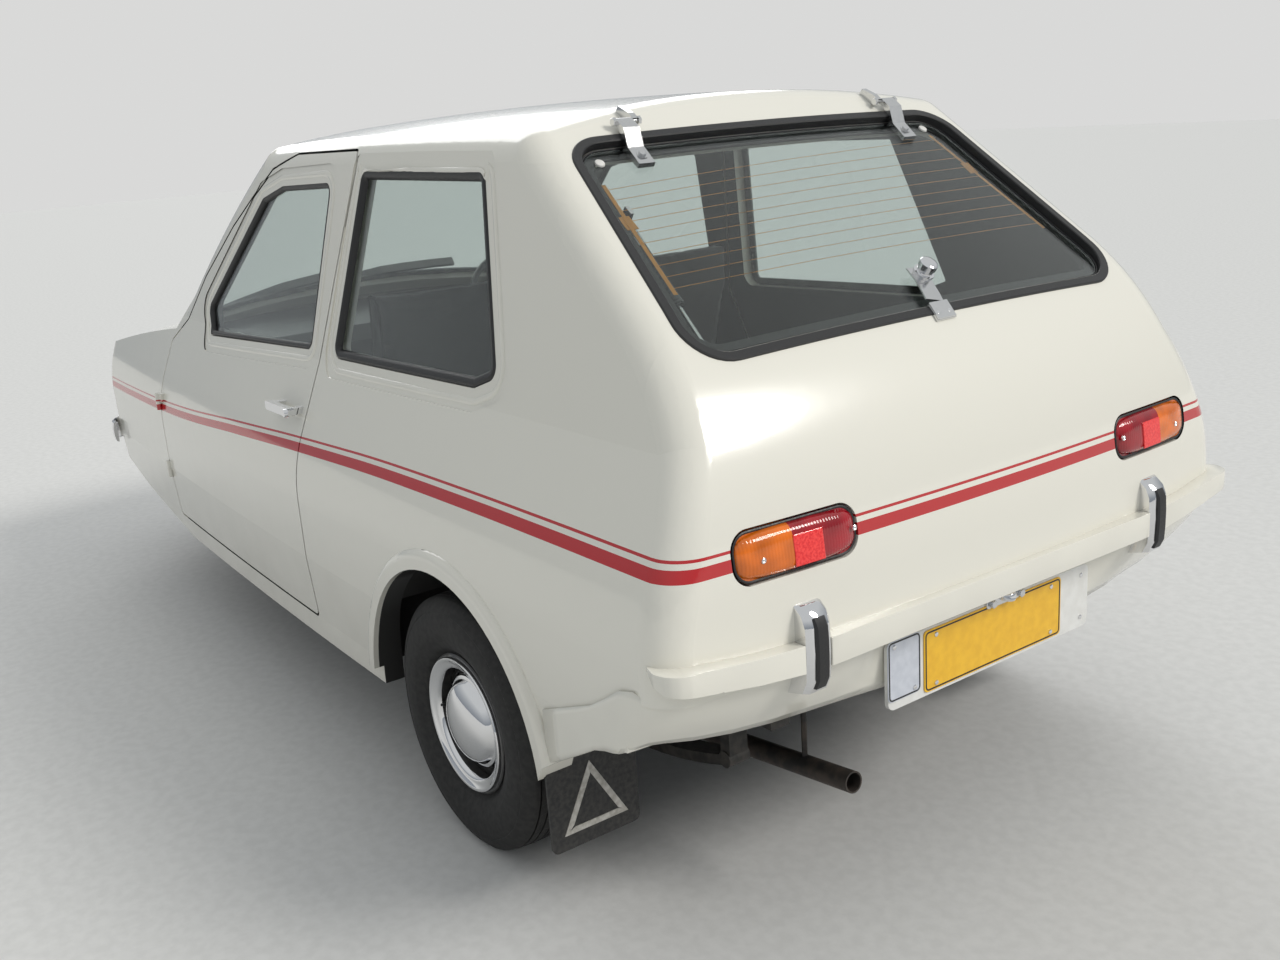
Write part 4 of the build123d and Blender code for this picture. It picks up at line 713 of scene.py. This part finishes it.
# Wheels: pressed steel discs with round vents, welded into rolled rims, coloured near black as painted
# shade for the shadow they stand in. Each has a bright trim ring pressed on the rim and a chrome dome over
# the hub.
# The near black of the discs and rims is painted shade; the grain only varies its tone.
wheel_shade_black = new_finish("wheel_shade_black", (0.035, 0.035, 0.037), 0.35, coat=0.2)
shade_between(wheel_shade_black, grain(wheel_shade_black, 70, 0.15, 0.0006), (0.028, 0.028, 0.03), (0.055, 0.052, 0.048))
barrel = ((-0.048, 0.137), (-0.05, 0.1345), (-0.048, 0.1225), (-0.044, 0.1205), (-0.03, 0.117),
          (-0.01, 0.112), (0.012, 0.112), (0.03, 0.118), (0.044, 0.1205), (0.048, 0.1225), (0.05, 0.1345),
          (0.048, 0.137), (0.0437, 0.137), (0.0437, 0.1272), (-0.0437, 0.1272), (-0.0437, 0.137),
          (-0.048, 0.137))
disc = ((0.014, 0.0201), (0.014, 0.05), (0.02, 0.062), (0.028, 0.074), (0.031, 0.08), (0.03, 0.086),
        (0.027, 0.092), (0.023, 0.098), (0.02, 0.103), (0.018, 0.1125))
disc_steps = 96
vent_rings, vent_pitch, vent_wide = (5, 6), 12, 4
ring_outline = ((0.043, 0.106), (0.047, 0.1075), (0.05, 0.11), (0.0515, 0.115), (0.053, 0.12),
                (0.056, 0.1245), (0.0575, 0.1275), (0.057, 0.13), (0.054, 0.1315), (0.049, 0.132))
cap = [(0.0285, 0.089), (0.0315, 0.0905), (0.0345, 0.0895), (0.036, 0.086), (0.0365, 0.083)]
cap += [(0.0365 + 0.033 * cos(radians(turn)), 0.08 * sin(radians(turn))) for turn in range(81, -1, -9)]
valve = ((0, 0.0035), (0.022, 0.0035), (0.022, 0.0045), (0.03, 0.0045), (0.032, 0))
for name, place, side, body in wheel_rows:
    axle = Vector((0, side, 0))
    rim = turned(f"wheel_rim_{name}", barrel, place, axle, wheel_shade_black, body, 64)
    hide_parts(f"rim_{name}")
    spots = []
    for reach, radius in disc:
        for step in range(disc_steps):
            angle = 2 * pi * step / disc_steps
            spots.append(place + Vector((radius * cos(angle), side * reach, radius * sin(angle))))
    faces = []
    for index, face in enumerate(strips(len(disc), disc_steps)):
        ring, step = divmod(index, disc_steps)
        if ring not in vent_rings or step % vent_pitch >= vent_wide:
            faces.append(face)
    plate = add_piece(f"wheel_disc_{name}", spots, faces, wheel_shade_black, body)
    worked(plate, "plate", "SOLIDIFY", thickness=0.003, offset=0)
    turned(f"trim_ring_{name}", ring_outline, place, axle, chrome, body, 80)
    turned(f"hub_dome_{name}", cap, place, axle, chrome, body, 64)
    valve_place = place + Vector((0.1015, side * 0.016, 0))
    turned(f"valve_{name}", valve, valve_place, Vector((0.3, side, 0)), rubber, body, 16)

# Tail lamps: moulded lenses let into pockets in the tail, amber outside, then a square reflector in
# bright red, then dark red, each held by two small screws over a thin black gasket.
lens = new_finish("lamp_lens", (0.4, 0.008, 0.012), 0.08, coat=0.5)


def colour_lens():
    """Amber outside and dark red inside by the distance from the car's middle, with fine ribs inside."""
    place = add_node(lens, "TexCoord").outputs["Object"]
    y = add_node(lens, "SeparateXYZ", {"Vector": place}).outputs["Y"]
    across = spread(lens, reckoned(lens, "ABSOLUTE", y), 0.328, 0.556, 0, 1)
    hues = add_node(lens, "ValToRGB", {"Fac": across})
    hues.color_ramp.interpolation = "CONSTANT"
    hues.color_ramp.elements[0].color = (0.36, 0.006, 0.014, 1)
    hues.color_ramp.elements[1].position = 0.555
    hues.color_ramp.elements[1].color = (0.78, 0.165, 0.006, 1)
    tone = spread(lens, noise_at(lens, place, 24, 1), 0.35, 0.65, 0.72, 1.12)
    depth = add_node(lens, "VectorMath", {0: hues.outputs["Color"], "Scale": tone}, operation="SCALE")
    feed(lens, "Base Color", depth.outputs["Vector"])
    ribs = add_node(lens, "TexWave", {"Vector": place, "Scale": 55}, bands_direction="Y")
    relief(lens, ribs.outputs["Fac"], 0.25, 0.0012)


colour_lens()
reflector_red = new_finish("reflector_red", (0.88, 0.012, 0.016), 0.12, coat=0.6)
shade_between(reflector_red, grain(reflector_red, 260, 0.5, 0.001, 1.0), (0.8, 0.008, 0.012),
              (0.98, 0.045, 0.04))
tail_skin = surface_of("tail_lamps")
lens_half, lens_high = 0.1125, 0.0355
lens_columns, lens_rows = 40, 16
lamp_y, lamp_z = 0.442, 0.709
reflector_steps = 8
behind_car = -1.8
forwards = Vector((1, 0, 0))
gasket = ((-0.0028, -0.004), (-0.0028, 0.001), (-0.001, 0.0018), (0.001, 0.001), (0.001, -0.004))
lens_screw = ((-0.002, 0), (-0.002, 0.0048), (0.001, 0.0046), (0.0024, 0.0028), (0.001, 0.0012),
              (0.001, 0))
for word, side in sides:
    spots = []
    for column in range(lens_columns + 1):
        for row in range(lens_rows + 1):
            u = -1 + 2 * column / lens_columns
            v = -1 + 2 * row / lens_rows
            square = max(abs(u), abs(v))
            long = (abs(u) ** 4 + abs(v) ** 4) ** 0.25
            shrink = square / long if long else 1
            across, up = u * shrink * lens_half, v * shrink * lens_high
            start = Vector((behind_car, side * lamp_y + across * 0.99, lamp_z + up * 0.98))
            hit, _, _, _ = tail_skin.ray_cast(start, forwards)
            skin_x = hit.x if hit else -1.62
            rise = 0.011 * (1 - square ** 6) + 0.001
            spots.append(Vector((skin_x - rise, side * lamp_y + across, lamp_z + up)))
    faces = strips(lens_columns + 1, lens_rows + 1, ring=False)
    piece = add_piece(f"lamp_lens_{word}", spots, faces, lens, "body")
    worked(piece, "wall", "SOLIDIFY", thickness=0.006, offset=-1)
    rim = [Vector((side * lamp_y + spot.x, lamp_z + spot.y)) for spot in rectangle(0.114, 0.037, 0.028)]
    rim = drawn_in(filled(rim, 0.02), 0.0015)
    path, outs = laid_on(tail_skin, [Vector((behind_car, spot.x, spot.y)) for spot in rim], forwards)
    seal = moulding(f"lamp_gasket_{word}", path, outs, gasket, rubber, "body", toward=middle_of(path))
    spots = []
    for column in range(reflector_steps + 1):
        for row in range(reflector_steps + 1):
            y = side * (0.4 + 0.056 * column / reflector_steps)
            z = 0.68 + 0.048 * row / reflector_steps
            hit, _, _, _ = tail_skin.ray_cast(Vector((behind_car, y, z)), forwards)
            spots.append(Vector((hit.x - 0.0136, y, z)))
    faces = strips(reflector_steps + 1, reflector_steps + 1, ring=False)
    piece = add_piece(f"lamp_reflector_{word}", spots, faces, reflector_red, "body", False)
    worked(piece, "wall", "SOLIDIFY", thickness=0.003)
    worked(piece, "round", "BEVEL", width=0.0012, segments=2)
    for index, (y, z) in enumerate(((0.512, 0.703), (0.338, 0.712))):
        hit, _, _, _ = tail_skin.ray_cast(Vector((behind_car, side * y, z)), forwards)
        place = hit + Vector((-0.0115, 0, 0))
        screw = turned(f"lamp_screw_{word}_{index}", lens_screw, place, -forwards, chrome, "body", 20)
dress(lens, "tail_lamps")

# Overriders: hollow chrome pressings bolted through the bumper, each with a black rubber buffer
# pressed into a groove down its face.
overrider_side = ((-1.599, 0.468), (-1.647, 0.478), (-1.6575, 0.5), (-1.659, 0.545), (-1.6575, 0.585),
                  (-1.65, 0.603), (-1.633, 0.617), (-1.599, 0.622))
buffer_line = ((-1.65, 0.487), (-1.6575, 0.502), (-1.659, 0.53), (-1.659, 0.56), (-1.6575, 0.584),
               (-1.65, 0.598))
buffer_section = ((-0.013, -0.006), (-0.013, 0.0016), (-0.0095, 0.0044), (0.0095, 0.0044), (0.013, 0.0016),
                  (0.013, -0.006))
overrider_y = 0.431
upwards = Vector((0, 0, 1))


def outs_along(path, level, outer):
    """Which way is out all along an open path that runs square to the level."""
    outs = []
    for index in range(len(path)):
        run = path[min(index + 1, len(path) - 1)] - path[max(index - 1, 0)]
        out = run.cross(level).normalized()
        outs.append(out if out.dot(outer) > 0 else -out)
    return outs


for word, side in sides:
    middle = side * overrider_y
    count = len(overrider_side)
    spots = []
    for y, back in ((-0.0255, 0.0075), (-0.017, 0), (0.017, 0), (0.0255, 0.0075)):
        spots += [Vector((min(x + back, -1.599), middle + y, z)) for x, z in overrider_side]
    faces = [tuple(range(count)), tuple(range(3 * count, 4 * count))] + strips(4, count)
    piece = add_piece(f"overrider_{word}", spots, faces, chrome, "body")
    worked(piece, "round", "BEVEL", width=0.0035, segments=3)
    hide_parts("overriders")
    path = [Vector((x, middle, z)) for x, z in buffer_line]
    outs = outs_along(path, Vector((0, 1, 0)), -forwards)
    strip = moulding(f"overrider_buffer_{word}", path, outs, buffer_section, rubber, "body", closed=False)

# Rear valance: the glass-fibre skin carried on below the bumper in the body's colour. It bulges out
# under the bumper, dips in behind the plate board and runs round both corners into the sides.
valance_top = 0.5145
board_dip = ((0, -1.5865, -1.5865, 0.392, valance_top), (0.195, -1.5805, -1.5805, 0.392, valance_top))
valance_side = ((0.45, -1.619, -1.559, 0.401, valance_top), (0.53, -1.613, -1.556, 0.41, valance_top),
                (0.6, -1.607, -1.548, 0.42, valance_top), (0.645, -1.599, -1.538, 0.428, valance_top),
                (0.672, -1.585, -1.525, 0.428, valance_top), (0.69, -1.566, -1.508, 0.418, 0.52),
                (0.6985, -1.545, -1.495, 0.413, 0.53), (0.7, -1.51, -1.48, 0.409, 0.521),
                (0.7003, -1.47, -1.46, 0.405, 0.494), (0.7005, -1.43, -1.43, 0.395, 0.47),
                (0.7005, -1.38, -1.38, 0.366, 0.45), (0.7005, -1.33, -1.33, 0.338, 0.43),
                (0.7005, -1.285, -1.285, 0.316, 0.412))
dip_line = ((0.24, -1.588, -1.572, 0.391), (0.285, -1.606, -1.565, 0.391), (0.335, -1.62, -1.56, 0.392))
dip_shift = {"left": 0.0, "right": 0.072}
drops = 8
for word, side in sides:
    dip_edge = tuple((y + dip_shift[word], x_top, x_foot, foot, valance_top)
                     for y, x_top, x_foot, foot in dip_line)
    columns = board_dip + dip_edge + valance_side
    spots = []
    for y, x_top, x_foot, foot, head in columns:
        for drop in range(drops + 1):
            share = drop / drops
            x = x_top + (x_foot - x_top) * share ** 1.6
            spots.append(Vector((x, side * y, head + (foot - head) * share)))
        spots.append(Vector((x_foot + 0.01, side * y * 0.99, foot + 0.001)))
    faces = strips(len(columns), drops + 2, ring=False)
    valance = add_piece(f"rear_valance_{word}", spots, faces, plain_paint, "body")
    worked(valance, "wall", "SOLIDIFY", thickness=0.003, offset=0)

# Number plates: a white board on brackets under the bumper carries a blank yellow plate with a thin
# black border and a small blank badge plate, both screwed on; a chrome lamp lights them from above.
board_white = new_finish("board_white", (0.79, 0.79, 0.77), 0.3, coat=0.3)
shade_between(board_white, grain(board_white, 40, 0.06, 0.0006), (0.74, 0.735, 0.71), (0.81, 0.81, 0.79))
dress(board_white, "plate_board")
plate_yellow = new_finish("plate_yellow", (0.9, 0.5, 0.012), 0.32, coat=0.3)
shade_between(plate_yellow, grain(plate_yellow, 55, 0.1, 0.0006), (0.86, 0.47, 0.01), (0.94, 0.54, 0.016))
plate_ink = new_finish("plate_black", (0.015, 0.015, 0.016), 0.35)
gloss_between(plate_ink, grain(plate_ink, 200, 0.1, 0.0004), 0.3, 0.45)
badge_pale = new_finish("badge_pale", (0.6, 0.63, 0.7), 0.3, coat=0.3)
shade_between(badge_pale, grain(badge_pale, 60, 0.1, 0.0005), (0.56, 0.59, 0.66), (0.64, 0.67, 0.74))


def slab(name, outline, place, across, up, thick, edge, finish, body):
    """A flat plate with a rounded rim: its outline is (across, up) from the place."""
    out = across.cross(up).normalized()
    inner = drawn_in(outline, edge)
    spots = []
    for ring, height in ((outline, 0), (outline, thick - edge), (inner, thick)):
        spots += [place + across * spot.x + up * spot.y + out * height for spot in ring]
    count = len(outline)
    faces = [tuple(range(count)), tuple(range(2 * count, 3 * count))] + strips(3, count)
    return add_piece(name, spots, faces, finish, body, False)


backwards, leftwards = Vector((0, -1, 0)), Vector((0, 1, 0))
board_face, plate_face = -1.5942, -1.5963
yellow_outline = rectangle(0.182, 0.056, 0.008, 4)
yellow_border = rectangle(0.178, 0.052, 0.007, 4)
badge_outline = rectangle(0.039, 0.054, 0.01, 5)
border_section = ((-0.0014, -0.0004), (-0.0014, 0.0004), (0.0014, 0.0004), (0.0014, -0.0004))
plate_rows = (
    ("yellow_plate", yellow_outline, plate_yellow, "plate_border", yellow_border, -0.041, 0.414),
    ("badge_plate", badge_outline, badge_pale, "badge_border", drawn_in(badge_outline, 0.003), 0.189, 0.422),
)
for name, outline, finish, border_name, border, y, z in plate_rows:
    place = Vector((board_face, y, z))
    plate = slab(name, outline, place, backwards, upwards, 0.0022, 0.0006, finish, "body")
    path = [Vector((plate_face, y - spot.x, z + spot.y)) for spot in border]
    outs = [-forwards] * len(path)
    line = moulding(border_name, path, outs, border_section, plate_ink, "body", smooth=False)
screw_outline = ((0, 0), (0, 0.0045), (0.0014, 0.0042), (0.0022, 0.0024), (0.0022, 0))
plate_screws = ((0.112, 0.458), (-0.194, 0.458), (0.112, 0.37), (-0.194, 0.37), (0.213, 0.465),
                (0.165, 0.379), (-0.285, 0.455), (-0.285, 0.372))
for index, (y, z) in enumerate(plate_screws):
    x = -1.5964 if y > -0.25 else -1.594
    screw = turned(f"plate_screw_{index}", screw_outline, Vector((x, y, z)), -forwards, chrome, "body", 16)
lamp_dome = [(0, 0), (0, 0.019), (0.004, 0.0195)]
lamp_dome += [(0.006 + 0.011 * sin(radians(turn)), 0.018 * cos(radians(turn))) for turn in range(0, 91, 15)]
dome_place = Vector((-1.594, -0.07, 0.4745))
turned("plate_lamp", lamp_dome, dome_place, Vector((-0.25, 0, 1)), chrome, "body", 32)
foot_outline = rounded(((-0.05, -0.008), (0.04, -0.008), (0.04, 0.008), (-0.05, 0.008)), 0.006, 4)
foot_place = Vector((board_face, -0.066, 0.472))
foot = slab("plate_lamp_foot", foot_outline, foot_place, backwards, upwards, 0.004, 0.001, bright, "body")
for index, y in enumerate((-0.03, -0.105)):
    place = Vector((-1.598, y, 0.472))
    nut = turned(f"plate_lamp_nut_{index}", nut_outline, place, -forwards, bright, "body", 6, False)

# Mud flaps: moulded rubber sheets behind the rear wheels, each with a pale triangle outline that is
# moulded proud of its rear face.
flap_rubber = new_finish("flap_rubber", (0.03, 0.03, 0.031), 0.6)
shade_between(flap_rubber, grain(flap_rubber, 120, 0.3, 0.001), (0.022, 0.022, 0.023), (0.05, 0.048, 0.045))
dress(flap_rubber, "mud_flaps")
flap_pale = new_finish("flap_pale", (0.52, 0.5, 0.46), 0.55)
shade_between(flap_pale, grain(flap_pale, 90, 0.3, 0.0006), (0.4, 0.38, 0.34), (0.6, 0.58, 0.54))
triangle_section = ((0, 0), (0, 0.0012), (0.011, 0.0012), (0.011, 0))
triangle_corners = ((0.612, 0.281), (0.672, 0.158), (0.54, 0.158))
flap_face = -1.268
for word, side in sides:
    flat = filled([Vector(corner) for corner in triangle_corners], 0.02)
    path = [Vector((flap_face, side * spot.x, spot.y)) for spot in flat]
    outs = [-forwards] * len(path)
    middle = Vector((flap_face, side * 0.608, 0.199))
    triangle = moulding(f"flap_triangle_{word}", path, outs, triangle_section, flap_pale, "body",
                        toward=middle, smooth=False)

# Door handles: chromed castings screwed to the door skins, each with a round push button at the
# rear end of its grip.
dress(chrome, "door_handle_left", "door_handle_right")
button = ((0, 0.0095), (0.016, 0.0095), (0.018, 0.008), (0.0185, 0))
for word, side in sides:
    place = Vector((-0.262, side * 0.672, 0.752))
    piece = turned(f"handle_button_{word}", button, place, Vector((0, side, 0)), chrome, f"door_{word}", 24)

# Nose: round lamps in chrome rims, amber flashers let into the skin below them, a black slatted
# grille and a chrome blade bumper whose ends turn back round the corners.
lamp_pane = new_finish("headlamp_glass", (0.86, 0.88, 0.9), 0.06, coat=0.6)
shade_between(lamp_pane, grain(lamp_pane, 60, 0.2, 0.001, stretch=(1, 8, 1)), (0.5, 0.52, 0.54),
              (0.8, 0.82, 0.84))
dress(lamp_pane, "headlamps")
amber = new_finish("flasher_amber", (0.8, 0.2, 0.01), 0.12, coat=0.5)
shade_between(amber, grain(amber, 180, 0.3, 0.0008, stretch=(1, 6, 1)), (0.7, 0.15, 0.006),
              (0.88, 0.26, 0.018))
rim_outline = ((0.078, 0.0905), (0.094, 0.0935), (0.101, 0.0925), (0.1035, 0.0885), (0.1025, 0.0845),
               (0.0975, 0.083), (0.09, 0.0835), (0.078, 0.086))
nose_skin = surface_of("headlamps")
for word, side in sides:
    place = Vector((1.5, side * 0.455, 0.6))
    turned(f"headlamp_rim_{word}", rim_outline, place, forwards, chrome, "body", 56)
    outline = filled(rectangle(0.073, 0.016, 0.006, 4), 0.012)
    starts = [Vector((1.8, side * 0.455 + spot.x, 0.482 + spot.y)) for spot in outline]
    path, _ = laid_on(nose_skin, starts, -forwards)
    inner = [spot.lerp(middle_of(path), 0.08) + Vector((0.004, 0, 0)) for spot in path]
    count = len(path)
    faces = strips(2, count) + [(count + i, count + (i + 1) % count, 2 * count) for i in range(count)]
    flasher = add_piece(f"flasher_lens_{word}", path + inner + [middle_of(inner)], faces, amber, "body")
black_plastic = new_finish("black_plastic", (0.02, 0.02, 0.021), 0.45)
gloss_between(black_plastic, grain(black_plastic, 340, 0.4, 0.0006), 0.38, 0.58)
dress(black_plastic, "grille", "wipers")
dress(chrome, "front_bumper")
end_section = ((-0.0345, -0.006), (-0.03, 0.001), (-0.012, 0.0045), (0.012, 0.0045), (0.03, 0.001),
               (0.0345, -0.006), (0.029, -0.0075), (-0.029, -0.0075))
end_line = ((1.57, 0.588), (1.564, 0.604), (1.552, 0.619), (1.534, 0.63), (1.51, 0.6355), (1.48, 0.638))
for word, side in sides:
    path = [Vector((x, side * y, 0.422)) for x, y in end_line]
    outs = outs_along(path, upwards, Vector((0, side, 0)))
    end = moulding(f"bumper_end_{word}", path, outs, end_section, chrome, "body", closed=False)
plate_place = Vector((1.6605, 0, 0.33))
front_outline = rectangle(0.26, 0.056, 0.01, 4)
board = slab("front_plate", front_outline, plate_place, leftwards, upwards, 0.003, 0.001, board_white, "body")

# Underside: a welded chassis, axle and springs in black paint, a cast iron engine block and a
# steel exhaust that has rusted.
under_black = new_finish("underside_black", (0.024, 0.023, 0.022), 0.55)
shade_between(under_black, grain(under_black, 60, 0.4, 0.0012), (0.018, 0.017, 0.016), (0.05, 0.044, 0.038))
dress(under_black, "chassis_frame", "rear_axle", "rear_springs", "front_swing_arm", "front_damper",
      "front_stub_axle", "prop_shaft", "fuel_tank", "front_wheel_box")
iron = new_finish("engine_iron", (0.1, 0.1, 0.105), 0.6, metallic=0.4)
shade_between(iron, grain(iron, 80, 0.5, 0.0014), (0.07, 0.07, 0.075), (0.14, 0.135, 0.13))
dress(iron, "engine_block")
pipe_steel = new_finish("exhaust_steel", (0.06, 0.052, 0.047), 0.6, metallic=0.4)
shade_between(pipe_steel, grain(pipe_steel, 45, 0.5, 0.001), (0.03, 0.028, 0.027), (0.075, 0.06, 0.05))
dress(pipe_steel, "exhaust")

# Floor covering: black moulded carpet laid over the floor, the tubs and the load floor of the
# glass-fibre floor pan.
carpet = new_finish("black_carpet", (0.02, 0.019, 0.018), 0.95)
shade_between(carpet, grain(carpet, 900, 0.9, 0.003), (0.012, 0.011, 0.011), (0.036, 0.034, 0.032))
dress(carpet, "floor_pan")

# Dashboard: black moulded plastic with a padded grain, two round dials in bright bezels before the
# driver, and the cover over the engine between the seats. The mirror has a silvered face.
dress(black_plastic, "dashboard", "engine_cover", "steering_column", "rear_view_mirror")
dial_face = new_finish("dial_face", (0.012, 0.012, 0.014), 0.25, coat=0.6)
gloss_between(dial_face, grain(dial_face, 300, 0.05, 0.0003), 0.2, 0.3)
dash_skin = surface_of("dashboard")
bezel = ((0, 0.05), (0.006, 0.05), (0.008, 0.048), (0.007, 0.046), (0.003, 0.045))
dial = ((0, 0.0455), (0.0035, 0.0455), (0.0036, 0))
for index, y in enumerate((-0.262, -0.374)):
    spot, _, _, _ = dash_skin.ray_cast(Vector((0.2, y, 0.735)), forwards)
    turned(f"dial_bezel_{index}", bezel, spot, -forwards, chrome, "body", 40)
    turned(f"dial_face_{index}", dial, spot, -forwards, dial_face, "body", 40)
silvered = new_finish("mirror_glass", (0.82, 0.83, 0.84), 0.02, metallic=1.0)
gloss_between(silvered, grain(silvered, 30, 0.01, 0.0004), 0.01, 0.03)
mirror_place = Vector((0.1402, 0, 1.229))
outline = rectangle(0.088, 0.023, 0.014, 5)
mirror = slab("mirror_face", outline, mirror_place, backwards, upwards, 0.0016, 0.0005, silvered, "body")

# Steering wheel: a black moulded rim on three bright pressed spokes, with a black boss over the nut
# that holds it to the column.
wheel_middle = Vector((0.33, -0.318, 0.8))
wheel_way = Vector((-0.8143, 0, 0.5804))
wheel_up = Vector((0.5804, 0, 0.8143))
rim_black = new_finish("rim_black", (0.018, 0.018, 0.019), 0.38)
gloss_between(rim_black, grain(rim_black, 260, 0.5, 0.001), 0.3, 0.48)
hoop_radius, rim_thick = 0.182, 0.0088
hoop = [(rim_thick * sin(radians(turn)), hoop_radius + rim_thick * cos(radians(turn)))
        for turn in range(0, 360, 24)]
hoop.append(hoop[0])
rim = turned("steering_hoop", hoop, wheel_middle, wheel_way, rim_black, "steering_wheel", 72)
boss = ((-0.027, 0), (-0.027, 0.024), (-0.01, 0.033), (0.002, 0.04), (0.0065, 0.038), (0.008, 0.03),
        (0.008, 0))
hub = turned("steering_boss", boss, wheel_middle, wheel_way, rim_black, "steering_wheel", 48)
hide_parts("steering_wheel")
spoke_section = ((-0.013, 0), (-0.0105, 0.0018), (0.0105, 0.0018), (0.013, 0), (0.0105, -0.001),
                 (-0.0105, -0.001))
spoke_line = ((0.03, -0.008), (0.06, -0.0075), (0.11, -0.005), (0.15, -0.0025), (0.178, 0))
for index, turn in enumerate((8, 172, 270)):
    way = wheel_up * sin(radians(turn)) + leftwards * cos(radians(turn))
    path = [wheel_middle + way * reach + wheel_way * rise for reach, rise in spoke_line]
    outs = [wheel_way] * len(path)
    spoke = moulding(f"steering_spoke_{index}", path, outs, spoke_section, bright, "steering_wheel",
                     closed=False)

# Seats: foam cushions in dark grey woven cloth with sewn channels and a piped seam round each edge,
# the front ones on black painted steel frames.
seat_cloth = new_finish("seat_cloth", (0.06, 0.056, 0.058), 0.92)
shade_between(seat_cloth, grain(seat_cloth, 1200, 0.6, 0.002), (0.04, 0.037, 0.04), (0.085, 0.08, 0.082))
seat_cloth.node_tree.nodes["Principled BSDF"].inputs["Sheen Weight"].default_value = 0.35
piping = new_finish("seat_piping", (0.02, 0.019, 0.02), 0.6)
gloss_between(piping, grain(piping, 600, 0.4, 0.001), 0.5, 0.7)
front_base = ((0.322, 0.306), (0.327, 0.438), (0.292, 0.466), (-0.105, 0.428), (-0.165, 0.424),
              (-0.205, 0.38), (-0.175, 0.306))
front_back = ((-0.125, 0.44), (-0.2, 0.56), (-0.29, 0.9), (-0.31, 1.006), (-0.34, 1.01), (-0.373, 1.004),
              (-0.383, 0.9), (-0.3, 0.56), (-0.24, 0.372), (-0.212, 0.372))
rear_base = ((-0.56, 0.444), (-0.482, 0.452), (-0.477, 0.508), (-0.502, 0.528), (-0.79, 0.504), (-0.82, 0.5),
             (-0.83, 0.444))
rear_back = ((-0.796, 0.512), (-0.87, 0.818), (-0.9, 0.833), (-0.943, 0.823), (-0.93, 0.7), (-0.888, 0.446),
             (-0.838, 0.446))
cushions = (
    ("front_base_left", front_base, 0.124, 0.51, "front_seats", 2, 0.75),
    ("front_base_right", front_base, -0.51, -0.124, "front_seats", 2, 0.75),
    ("front_back_left", front_back, 0.124, 0.51, "front_seats", 0, 0.75),
    ("front_back_right", front_back, -0.51, -0.124, "front_seats", 0, 0.75),
    ("rear_base", rear_base, -0.508, 0.508, "rear_seat", 2, 0.7),
    ("rear_back", rear_back, -0.508, 0.508, "rear_seat", 0, 0.7),
)
foam_gap = 0.009
foam_inset = 0.011
swell_reach = 0.022
channel_deep, channel_half = 0.0055, 0.011
plain_edge, fade_run = 0.035, 0.03
swell_steps = 20
bead = [(0.0035 * cos(radians(turn)), 0.0035 * sin(radians(turn))) for turn in range(0, 360, 60)]


def baked(piece):
    """The piece's mesh with its modifiers worked in."""
    shape = piece.evaluated_get(bpy.context.evaluated_depsgraph_get())
    mesh = bpy.data.meshes.new_from_object(shape)
    piece.modifiers.clear()
    piece.data = mesh


made = []
for name, outline, low, high, _, _, _ in cushions:
    side = drawn_in([Vector(corner) for corner in outline], foam_inset)
    spots = [Vector((spot.x, y, spot.y)) for y in (low + foam_inset, high - foam_inset) for spot in side]
    count = len(side)
    faces = [tuple(range(count)), tuple(range(count, 2 * count))] + strips(2, count)
    piece = add_piece(name, spots, faces, seat_cloth, "body", False)
    worked(piece, "foam", "REMESH", mode="VOXEL", voxel_size=foam_gap)
    baked(piece)
    made.append(piece)
starts = [[vertex.co.copy() for vertex in piece.data.vertices] for piece in made]
for piece in made:
    swell = piece.modifiers.new("swell", "CLOTH")
    swell.settings.quality = 5
    swell.settings.use_pressure = True
    swell.settings.uniform_pressure_force = 4
    swell.settings.effector_weights.gravity = 0
    swell.point_cache.frame_start = 1
    swell.point_cache.frame_end = swell_steps
for step in range(1, swell_steps + 1):
    scene.frame_set(step)
for piece in made:
    baked(piece)
for piece, before, (name, outline, low, high, node, facing, fill) in zip(made, starts, cushions):
    front, back = max(spot[0] for spot in outline), min(spot[0] for spot in outline)
    under, over = min(spot[1] for spot in outline), max(spot[1] for spot in outline)
    panels = 6 if node == "front_seats" else 14
    channels = [low + (high - low) * part / panels for part in range(1, panels)]
    for vertex, start in zip(piece.data.vertices, before):
        moved = vertex.co - start
        if moved.length > swell_reach:
            moved *= swell_reach / moved.length
        place = start + moved
        sewn = 0.0
        if vertex.normal[facing] > 0.45 and start.z > 0.42:
            edge = min(place.y - low, high - place.y)
            depth = channel_deep * min(1.0, max(0, (edge - plain_edge) / fade_run))
            sewn = sum(depth * max(0, 1 - abs(place.y - y) / channel_half) for y in channels)
        place -= vertex.normal * sewn
        place.x = min(front, max(back, place.x))
        place.y = min(high, max(low, place.y))
        place.z = min(over, max(under, place.z))
        vertex.co = place
    worked(piece, "finer", "SUBSURF", levels=1, render_levels=1)
    piece.data.materials.clear()
    piece.data.materials.append(seat_cloth)
    piece.data.shade_smooth()
    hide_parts(node)
    skin = BVHTree.FromPolygons([vertex.co for vertex in piece.data.vertices],
                                [list(face.vertices) for face in piece.data.polygons])
    ring = filled(drawn_in([Vector(corner) for corner in outline], 0.01), 0.02)
    for word, y in (("a", low + 0.014), ("b", high - 0.014)):
        near = [skin.find_nearest(Vector((spot.x, y, spot.y))) for spot in ring]
        seam, outs = [hit[0] for hit in near], [hit[1] for hit in near]
        count = len(seam)
        seam = [(seam[i - 1] + seam[i] * 2 + seam[(i + 1) % count]) / 4 for i in range(count)]
        moulding(f"{name}_piping_{word}", seam, outs, bead, piping, "body")
frame_outline = rounded(((-0.06, -0.157), (0.26, -0.157), (0.26, 0.157), (-0.06, 0.157)), 0.02, 4)
for word, side in sides:
    place = Vector((0, side * 0.317, 0.262))
    base = slab(f"seat_frame_{word}", frame_outline, place, forwards, leftwards, 0.042, 0.004, black_plastic,
                "body")
